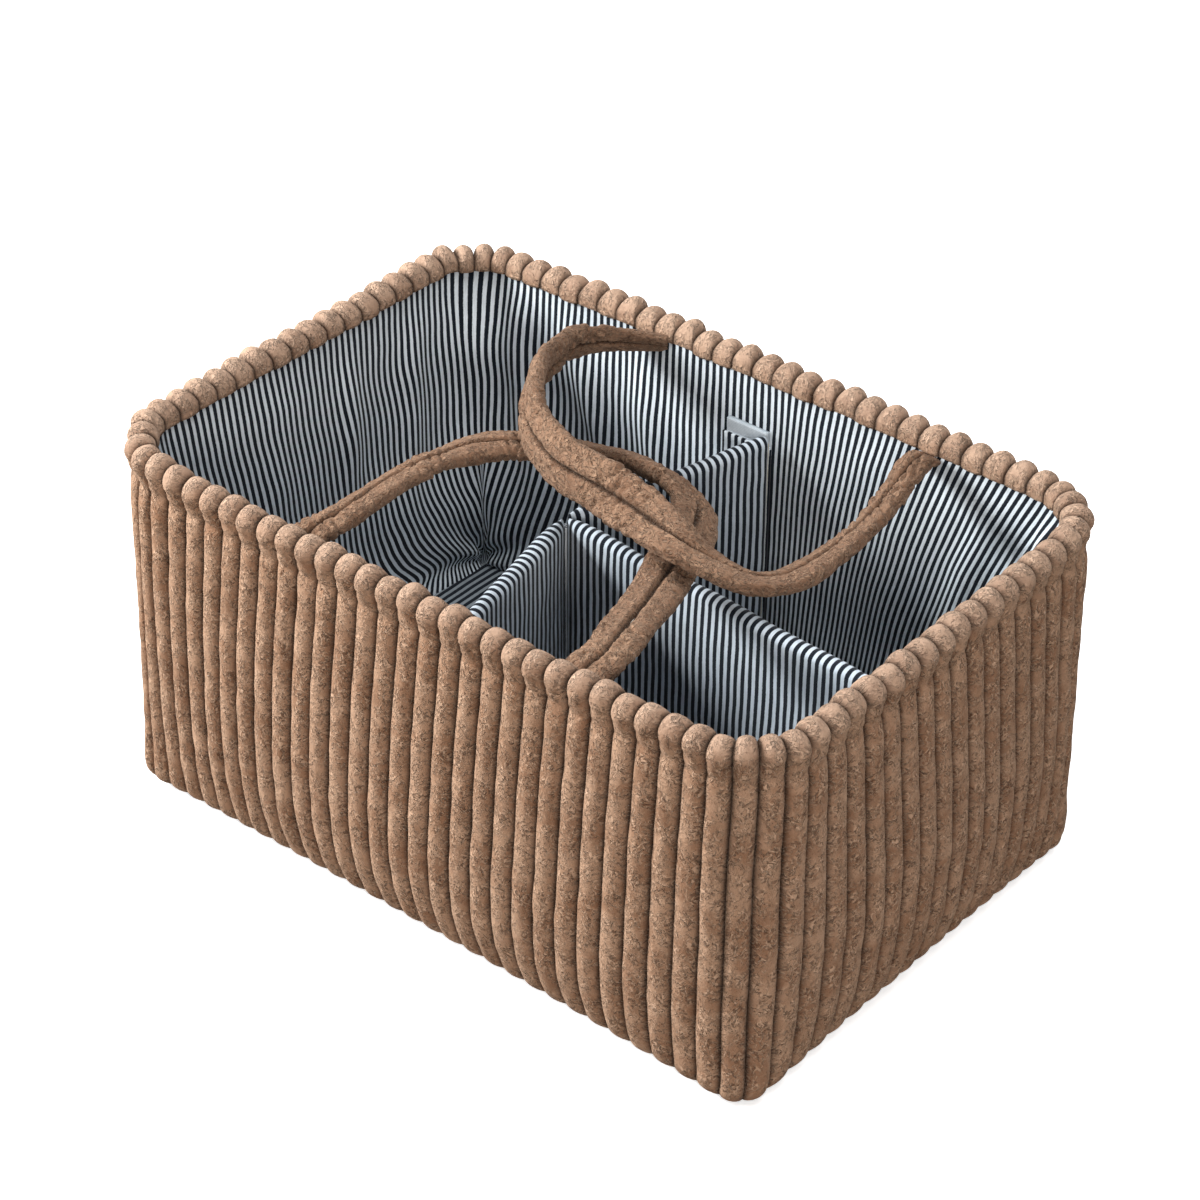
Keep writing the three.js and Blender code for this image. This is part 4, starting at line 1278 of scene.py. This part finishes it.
def leaf(name, angle, start, wall_distance, seed):
    """A padded leaf from the seam to the wall, standing at an angle."""
    outward = np.array([math.cos(angle), math.sin(angle)])
    sideways = np.array([-outward[1], outward[0]])
    levels = np.linspace(LEAF_BOTTOM, LEAF_TOP - LEAF_THICKNESS / 2, 50)
    section = leaf_section(levels)
    ends = wall_distance(section[:, 1])
    steps = int(ends.max() / LEAF_STEP)
    share = np.linspace(0, 1, steps + 1)[:, None]
    distance = start + (ends[None, :] - start) * share
    level = np.broadcast_to(section[:, 1], distance.shape)
    flat_share = 1 - 0.5 * ease(distance, ends - 2 * MM, ends)
    rise = ease(level, LEAF_BOTTOM, LEAF_BOTTOM + 25 * MM)
    lies = joined(distance, level)
    swell = LEAF_SWELL * (1 + ripples(lies, 70 * MM, seed)) + LEAF_RUMPLE * (
        1 + ripples(lies, 15 * MM, seed + 1))
    full = LEAF_THICKNESS / 2 * (0.35 + 0.65 * flat_share) + swell * rise * flat_share
    half = full / (1 + (full / (SEAM_WEDGE * distance)) ** 4) ** 0.25
    offset = section[:, 0][None, :] * half
    sag = LEAF_SAG * (1 + ripples(lies[..., :1], 70 * MM, seed + 3)) * ease(
        level, LEAF_TOP - 30 * MM, LEAF_TOP) * flat_share * ease(distance, start, start + 4 * MM)
    plan = outward * distance[..., None] + sideways * offset[..., None]
    points = np.concatenate([plan + (SEAM_X, SEAM_Y), (level + sag)[..., None]], axis=-1)
    around = run_along(section * (LEAF_THICKNESS / 2, 1))
    around = np.append(around, around[-1] + LEAF_THICKNESS)
    length = np.linspace(start, ends.mean(), steps + 1)
    length = np.append(length, length[-1] + MM)
    return cloth_mesh(name, points, joined(length[:, None], around[None, :]))


# %% The divider's leaves
def cross_distance(angle):
    """Distance out to the long wall along a leaf, by level."""
    towards = math.copysign(1, math.sin(angle))
    return lambda level: (towards * (outline(level)[1] - LEAF_END_INSET) - SEAM_Y) / math.sin(angle)


def end_distance(angle):
    """Distance out to the right end wall along a leaf, by level."""
    return lambda level: (outline(level)[0] - LEAF_END_INSET - SEAM_X) / math.cos(angle)


# Name, node, angle in degrees, distance from the seam, how far it reaches, body and seed
LEAVES = [
    ("front_leaf", "divider_front_sleeve", -77, 2.2 * MM, cross_distance, "basket", 61),
    ("back_leaf", "divider_back_sleeve", 76, 2.2 * MM, cross_distance, "basket", 71),
    ("long_leaf", "partition_sleeve", -4, 2.4 * MM, end_distance, "partition", 81),
]
for name, node, degrees, start, distance_of, body, seed in LEAVES:
    turned = math.radians(degrees)
    piece = leaf(name, turned, start, distance_of(turned), seed)
    piece.data.materials.append(shaded_leaf_ticking)
    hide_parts(node)
    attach(piece, body)

# %% [markdown]
# ## The flaps at the leaves' ends
# Each sleeve runs on past its pad as a flap that lies along the wall. Hook tape on its back
# meets a strip of loop tape on the lining. The loop tape reaches a little above the flap.

# %% The flaps
TAPE_WIDTH = 25 * MM
FLAP_TOP = 140.5 * MM
FLAP_BOTTOM = 16 * MM
FLAP_TUCK = 1.5 * MM
FLAP_THICKNESS = 0.9 * MM
LAYER_GAP = 0.3 * MM


def flap(name, corner, along, inwards, seed):
    """A thin striped flap from a leaf's end, lying flat along a wall."""
    corner, along, inwards = (np.array(way, float) for way in (corner, along, inwards))
    width = np.linspace(-FLAP_TUCK, TAPE_WIDTH, 22)[:, None]
    level = np.linspace(FLAP_BOTTOM, FLAP_TOP, 40)[None, :]
    lift = 0.35 * MM * (1 + ripples(joined(width, level), 24 * MM, seed))

    def side(depth):
        plan = corner + along * width[..., None] + inwards * depth[..., None]
        return np.concatenate([plan, np.broadcast_to(level, depth.shape)[..., None]], axis=-1)

    front = side(lift + FLAP_THICKNESS)
    behind = side(np.minimum(lift, 0.2 * MM))
    points = np.concatenate([front, behind[:, ::-1]], axis=1)
    return cloth_mesh(name, points, slab_cloth(width[:, 0], level[0]))


for name, node, body, wall, seed in (
    ("front_leaf_flap", "divider_front_hook", "basket", "front", 91),
    ("back_leaf_flap", "divider_back_hook", "basket", "back", 92),
    ("long_leaf_flap", "partition_hook", "partition", "right", 93),
):
    low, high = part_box(node)
    if wall == "right":
        corner, along, inwards = (low.x - LAYER_GAP, low.y - MM), (0, 1), (-1, 0)
    elif wall == "front":
        corner, along, inwards = (high.x + MM, high.y + LAYER_GAP), (-1, 0), (0, 1)
    else:
        corner, along, inwards = (high.x + MM, low.y - LAYER_GAP), (-1, 0), (0, -1)
    piece = flap(name, corner, along, inwards, seed)
    piece.data.materials.append(wall_ticking)
    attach(piece, body)

# %% [markdown]
# ## The loop tapes on the lining
# A strip of loop tape is sewn to the lining behind each flap, and its top edge shows above it.
# It is a flat slab with a fuzz of small bumps, a little smaller than the strip of the CAD model.

# %% The loop tapes
TAPE_TRIM = 3 * MM
TAPE_SINK = 1.6 * MM
TAPE_FUZZ = 0.12 * MM


def tape(name, node, wall):
    """A thin fuzzy strip in the place of the CAD strip, a little shorter and narrower."""
    low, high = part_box(node)
    share = np.linspace(0, 1, 40)[:, None]
    level = np.linspace(low.z, high.z - TAPE_SINK, 120)[None, :]
    fuzz = TAPE_FUZZ * ripples(joined(share * TAPE_WIDTH, level), 4 * MM, 95)
    if wall == "right":
        width = high.y - low.y
        near, far = high.x, low.x
        along = low.y + (width - TAPE_TRIM) * share
    else:
        width = high.x - low.x
        near, far = (high.y, low.y) if wall == "back" else (low.y, high.y)
        along = low.x + (width - TAPE_TRIM) * share

    def side(depth):
        return joined(depth, along, level) if wall == "right" else joined(along, depth, level)

    face = side(far + np.sign(far - near) * fuzz)
    points = np.concatenate([face, side(near)[:, ::-1]], axis=1)
    strip = cloth_mesh(name, points, slab_cloth(share[:, 0] * width, level[0]))
    strip.data.materials.append(loop_tape)
    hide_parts(node)
    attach(strip, "basket")


for wall in ("front", "back", "right"):
    tape(f"{wall}_loop_tape", f"{wall}_loop_strip", wall)

# %% [markdown]
# ## The seam of the divider
# Where the three leaves meet they are sewn together in one upright seam. It is a thin roll of
# ticking, pinched by its stitches.

# %% The seam of the divider
SEAM_RADIUS = 1.9 * MM
SEAM_DROP = 3 * MM
SEAM_SIDES = 16
STITCH_PINCH = 0.35 * MM
STITCH_LENGTH = 3.2 * MM


def seam_roll():
    """An upright roll that is thinner at each stitch."""
    low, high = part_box("divider_seam")
    level = np.linspace(low.z, high.z - SEAM_DROP, 90)[:, None]
    turn = np.linspace(0, 2 * np.pi, SEAM_SIDES, endpoint=False)[None, :]
    radius = SEAM_RADIUS - STITCH_PINCH * np.abs(np.sin(level * math.pi / STITCH_LENGTH))
    points = joined(SEAM_X + radius * np.cos(turn), SEAM_Y + radius * np.sin(turn), level)
    around = np.linspace(0, 12 * MM, SEAM_SIDES + 1)[None, :]
    levels = np.append(level, level[-1] + MM)[:, None]
    return cloth_mesh("divider_seam_roll", points, joined(around, levels))


seam = seam_roll()
seam.data.materials.append(wall_ticking)
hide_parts("divider_seam")
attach(seam, "basket")

# %% [markdown]
# ## The carrying loops
# A loop is a tube of corduroy two ribs wide over a webbing core. Its ends are sewn flat under
# the rim, turn up and then lie inwards over the basket, twisting as they go. The strap is one
# section carried along the route of the CAD handle, from sewn end to sewn end, and it curves
# smoothly past the seams where the loop is hinged.

# %% Routes of the carrying loops
HANDLE_SPACING = 147 * MM
HANDLE_RISE = 10 * MM
HINGE_LEVEL = 168 * MM
HINGE_INSET = 17.5 * MM
SEWN_INSET = 10.6 * MM
SEWN_DROP = 1.5 * MM

# Shares along half the spacing, inwards over the reach and up by the rise, and the roll
FRONT_ROUTE = [
    (-1, 0, 0, 0), (-0.995, 0.125, 0, -8), (-1.025, 0.27, -0.1, -14), (-1.05, 0.415, -0.3, -15),
    (-1.045, 0.6, -0.55, -8), (-0.955, 0.74, -0.7, 4), (-0.8, 0.83, -0.8, 0),
    (-0.61, 0.9, -0.8, -25), (-0.385, 0.95, -0.8, -36), (-0.14, 0.965, -0.8, -40),
    (0.12, 0.95, -0.85, -42), (0.33, 0.89, -0.9, -42), (0.48, 0.77, -0.95, -34),
    (0.605, 0.605, -0.95, -22), (0.74, 0.425, -0.75, -6), (0.87, 0.23, -0.4, -2),
    (0.985, 0.07, -0.05, 0), (1, 0, 0, 0),
]
BACK_ROUTE = [
    (-1.13, 0.55, 1.2, 74), (-0.955, 0.715, 1.2, 74), (-0.715, 0.86, 1.2, 72),
    (-0.405, 0.95, 1.05, 72), (-0.1, 0.97, 0.95, 62), (0.195, 0.995, 0.8, 38),
    (0.54, 1.045, 0.65, 5), (0.765, 1.025, 0.1, -12), (0.975, 0.97, -0.4, -14),
    (1.08, 0.86, -0.7, -14), (1.1, 0.64, -0.85, -20), (1.085, 0.415, -0.8, -28),
    (1.035, 0.185, -0.5, -20), (1.005, 0.055, -0.05, -2), (1, 0, 0, 0),
]
STRAP_STEP = 0.8 * MM

# The back loop leaves the wall on edge, so it starts with knots of another kind: place in mm,
# roll, share of the width, and fullness
BACK_START = [
    (-53.5, 110, 167.4, 62, 0.46, 0.5), (-59.5, 107, 167.6, 66, 0.48, 0.55),
    (-66, 103, 167.6, 70, 0.52, 0.6), (-72.6, 97, 168.4, 72, 0.58, 0.66),
    (-77.4, 88, 170.4, 73, 0.66, 0.75), (-79.2, 73, 173.8, 74, 0.8, 0.9),
    (-73.6, 53.6, 177, 74, 0.95, 1),
]

# Width of each loop, as a share of the full one, by how far along it is
FRONT_WIDTHS = [(0, 0.7), (0.12, 0.62), (0.3, 0.66), (0.45, 0.95), (0.6, 0.98), (0.72, 0.86),
                (1, 0.82)]
BACK_WIDTHS = [(0, 1), (0.2, 0.92), (0.5, 0.95), (0.62, 0.78), (0.75, 0.72), (0.87, 0.58),
               (1, 0.5)]
print("knots:", len(FRONT_ROUTE), "and", len(BACK_START) + len(BACK_ROUTE))

# %% From knots to routes
def strap_route(shares, centre, reach, inward, widths, begin=()):
    """Places along a strap from end to end, with the roll, the width and the fullness."""
    hinge = -inward * (outline(HINGE_LEVEL)[1] - HINGE_INSET)
    sewn = -inward * (outline(HINGE_LEVEL)[1] - SEWN_INSET)
    start = [(x * MM, y * MM, z * MM, math.radians(roll), width, full)
             for x, y, z, roll, width, full in begin]
    rest = [(centre + along * HANDLE_SPACING / 2, hinge + inward * inwards * reach,
             HINGE_LEVEL + rise * HANDLE_RISE, math.radians(roll), 1.0, 1.0)
            for along, inwards, rise, roll in shares]
    route = even_steps(curve_through(start + rest), STRAP_STEP)

    def sewn_end(x):
        share = np.linspace(0, 1, 8, endpoint=False)
        return joined(x, sewn + (hinge - sewn) * share, HINGE_LEVEL - SEWN_DROP * (1 - share) ** 2,
                      0, 1, 0.4 + 0.6 * share)

    end = sewn_end(route[-1, 0])[::-1]
    parts = [route, end] if begin else [sewn_end(route[0, 0]), route, end]
    whole = np.vstack(parts)
    whole[:, 4] *= table_at(np.linspace(0, 1, len(whole)), widths, 0.04)
    return whole


routes = {
    "front": strap_route(FRONT_ROUTE, centre=7 * MM, reach=140 * MM, inward=1,
                         widths=FRONT_WIDTHS),
    "back": strap_route(BACK_ROUTE, centre=15.5 * MM, reach=116 * MM, inward=-1,
                        widths=BACK_WIDTHS, begin=BACK_START),
}
print({name: len(route) for name, route in routes.items()})

# %% Sizes of the loops, and the webbing in them
STRAP_HALF_WIDTH = 12.6 * MM
STRAP_HALF_THICKNESS = 4.1 * MM
STRAP_SIDES = 92
VALLEY_HALF_WIDTH = 1.2 * MM
VALLEY_DEPTH = 0.72
WRINKLE_DEPTH = 1.3
CORE_HALF_WIDTH = 7.5 * MM
CORE_HALF_THICKNESS = 0.8 * MM


def strap_ways(route, inward):
    """Unit ways across a strap and through it, at each place of its route."""
    places, roll = route[:, :3], route[:, 3:4]
    ways = np.gradient(places, axis=0)
    ways /= np.linalg.norm(ways, axis=1, keepdims=True)
    flat = np.cross((0, 0, 1), ways)
    upright = np.linalg.norm(flat, axis=1) < 0.3
    sides = flat / np.maximum(np.linalg.norm(flat, axis=1, keepdims=True), 1e-9)
    half = len(route) // 2
    sides[:half][upright[:half]] = (-inward, 0, 0)
    sides[half:][upright[half:]] = (inward, 0, 0)
    steep = np.cross(ways, sides)
    across = sides * np.cos(roll) + steep * np.sin(roll)
    return across, np.cross(ways, across)


def strap_core(name, route, inward):
    """The webbing inside a strap, a thin ribbon along the same route."""
    across_way, through_way = strap_ways(route, inward)
    corners = np.array([(1, 1), (0, 1), (-1, 1), (-1, -1), (0, -1), (1, -1)])
    reach = corners[None, :, 0] * CORE_HALF_WIDTH * route[:, 4:5]
    lift = np.broadcast_to(corners[None, :, 1] * CORE_HALF_THICKNESS, reach.shape)
    points = (route[:, None, :3] + across_way[:, None, :] * reach[..., None]
              + through_way[:, None, :] * lift[..., None])
    along = np.arange(len(route) + 1) * STRAP_STEP
    around = np.linspace(0, 4 * CORE_HALF_WIDTH, len(corners) + 1)
    return cloth_mesh(name, points, joined(around[None, :], along[:, None]))


print("a core is", round(2 * CORE_HALF_WIDTH / MM, 1), "mm wide")

# %% The corduroy tube of a loop
def strap(name, route, inward, seed):
    """A strap of two ribs along a route, twisting by the roll in the route's fourth column."""
    places, width, full = route[:, :3], route[:, 4], route[:, 5]
    width_way, thick_way = strap_ways(route, inward)

    turn = np.linspace(0, 2 * np.pi, STRAP_SIDES, endpoint=False)
    cos, sin = np.cos(turn), np.sin(turn)
    across = STRAP_HALF_WIDTH * cos
    valley = np.exp(-(across / VALLEY_HALF_WIDTH) ** 2)
    through = STRAP_HALF_THICKNESS * np.sign(sin) * np.abs(sin) ** 0.6 * (
        1 - VALLEY_DEPTH * valley)
    spread = across[None, :] * width[:, None]
    points = (places[:, None, :] + width_way[:, None, :] * spread[..., None]
              + thick_way[:, None, :] * (through[None, :] * full[:, None])[..., None])
    normals = grid_normals(points)
    middle = places[:, None, :]
    outward = np.sign(np.einsum("ijk,ijk->ij", normals, points - middle).sum())
    lies = joined(across * 0.5, (np.arange(len(route)) * STRAP_STEP)[:, None])
    crumpled = ease(ripples(lies, 60 * MM, seed + 2), -0.5, 0.5)
    lumps = (ripples(points, 8 * MM, seed) * 0.22 + ripples(points, 26 * MM, seed + 1) * 0.4
             + ripples(lies, 3.8 * MM, seed + 3) * 0.35 * crumpled * (1 - valley))
    wrinkled = np.clip(1 - np.abs(ripples(lies, 9 * MM, seed + 4)) / 0.3, 0, 1)
    lumps = lumps - WRINKLE_DEPTH * wrinkled * (0.25 + 0.75 * crumpled) * (1 - valley)
    points = points + outward * normals * (lumps * MM * ease(full, 0.5, 0.9)[:, None])[..., None]

    around = run_along(joined(across, through))
    around = np.append(around, around[-1] + (around[1] - around[0]))
    travelled = run_along(places)
    travelled = np.append(travelled, travelled[-1] + MM)
    cloth = joined(around[None, :], travelled[:, None])
    # The crown mark falls in the valley and along both edges, and the material paints shade there
    edge = np.exp(-((np.abs(across) - STRAP_HALF_WIDTH) / (0.9 * MM)) ** 2) * 0.35
    crown = 1 - np.clip(0.9 * valley + edge, 0, 1)
    return cloth_mesh(name, points, cloth, crown=np.broadcast_to(crown, points.shape[:2]))


print("a loop is", round(2 * STRAP_HALF_WIDTH / MM, 1), "mm wide")

# %% The carrying loops
for side, inward, seed in (("front", 1, 101), ("back", -1, 111)):
    handle = f"{side}_handle"
    route = routes[side]
    loop = strap(f"{side}_loop", route, inward, seed)
    loop.data.materials.append(strap_corduroy)
    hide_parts(handle, f"{handle}_left_tab", f"{handle}_right_tab")
    sewn_in = route[:, 5] > 0.8
    core = strap_core(f"{side}_loop_webbing", route[sewn_in], inward)
    core.data.materials.append(strap_webbing)
    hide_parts(f"{handle}_core")
    for soft in (loop, core):
        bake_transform(soft)

# %% [markdown]
# ## The carried pieces
# The floor board, the divider's boards and the hook tapes keep the shapes the CAD gives them.
# They are hidden between the cloths, and each still gets the material that it is made of.

# %% Materials of the carried pieces
CARRIED = [
    (grey_board, ["base_board", "divider_front_board", "divider_back_board", "partition_board"]),
    (loop_tape, ["divider_front_hook", "divider_back_hook", "partition_hook"]),
]
for material, names in CARRIED:
    for node in names:
        for slot in nodes[node].material_slots:
            slot.material = material
    print(material.name, "on", names)
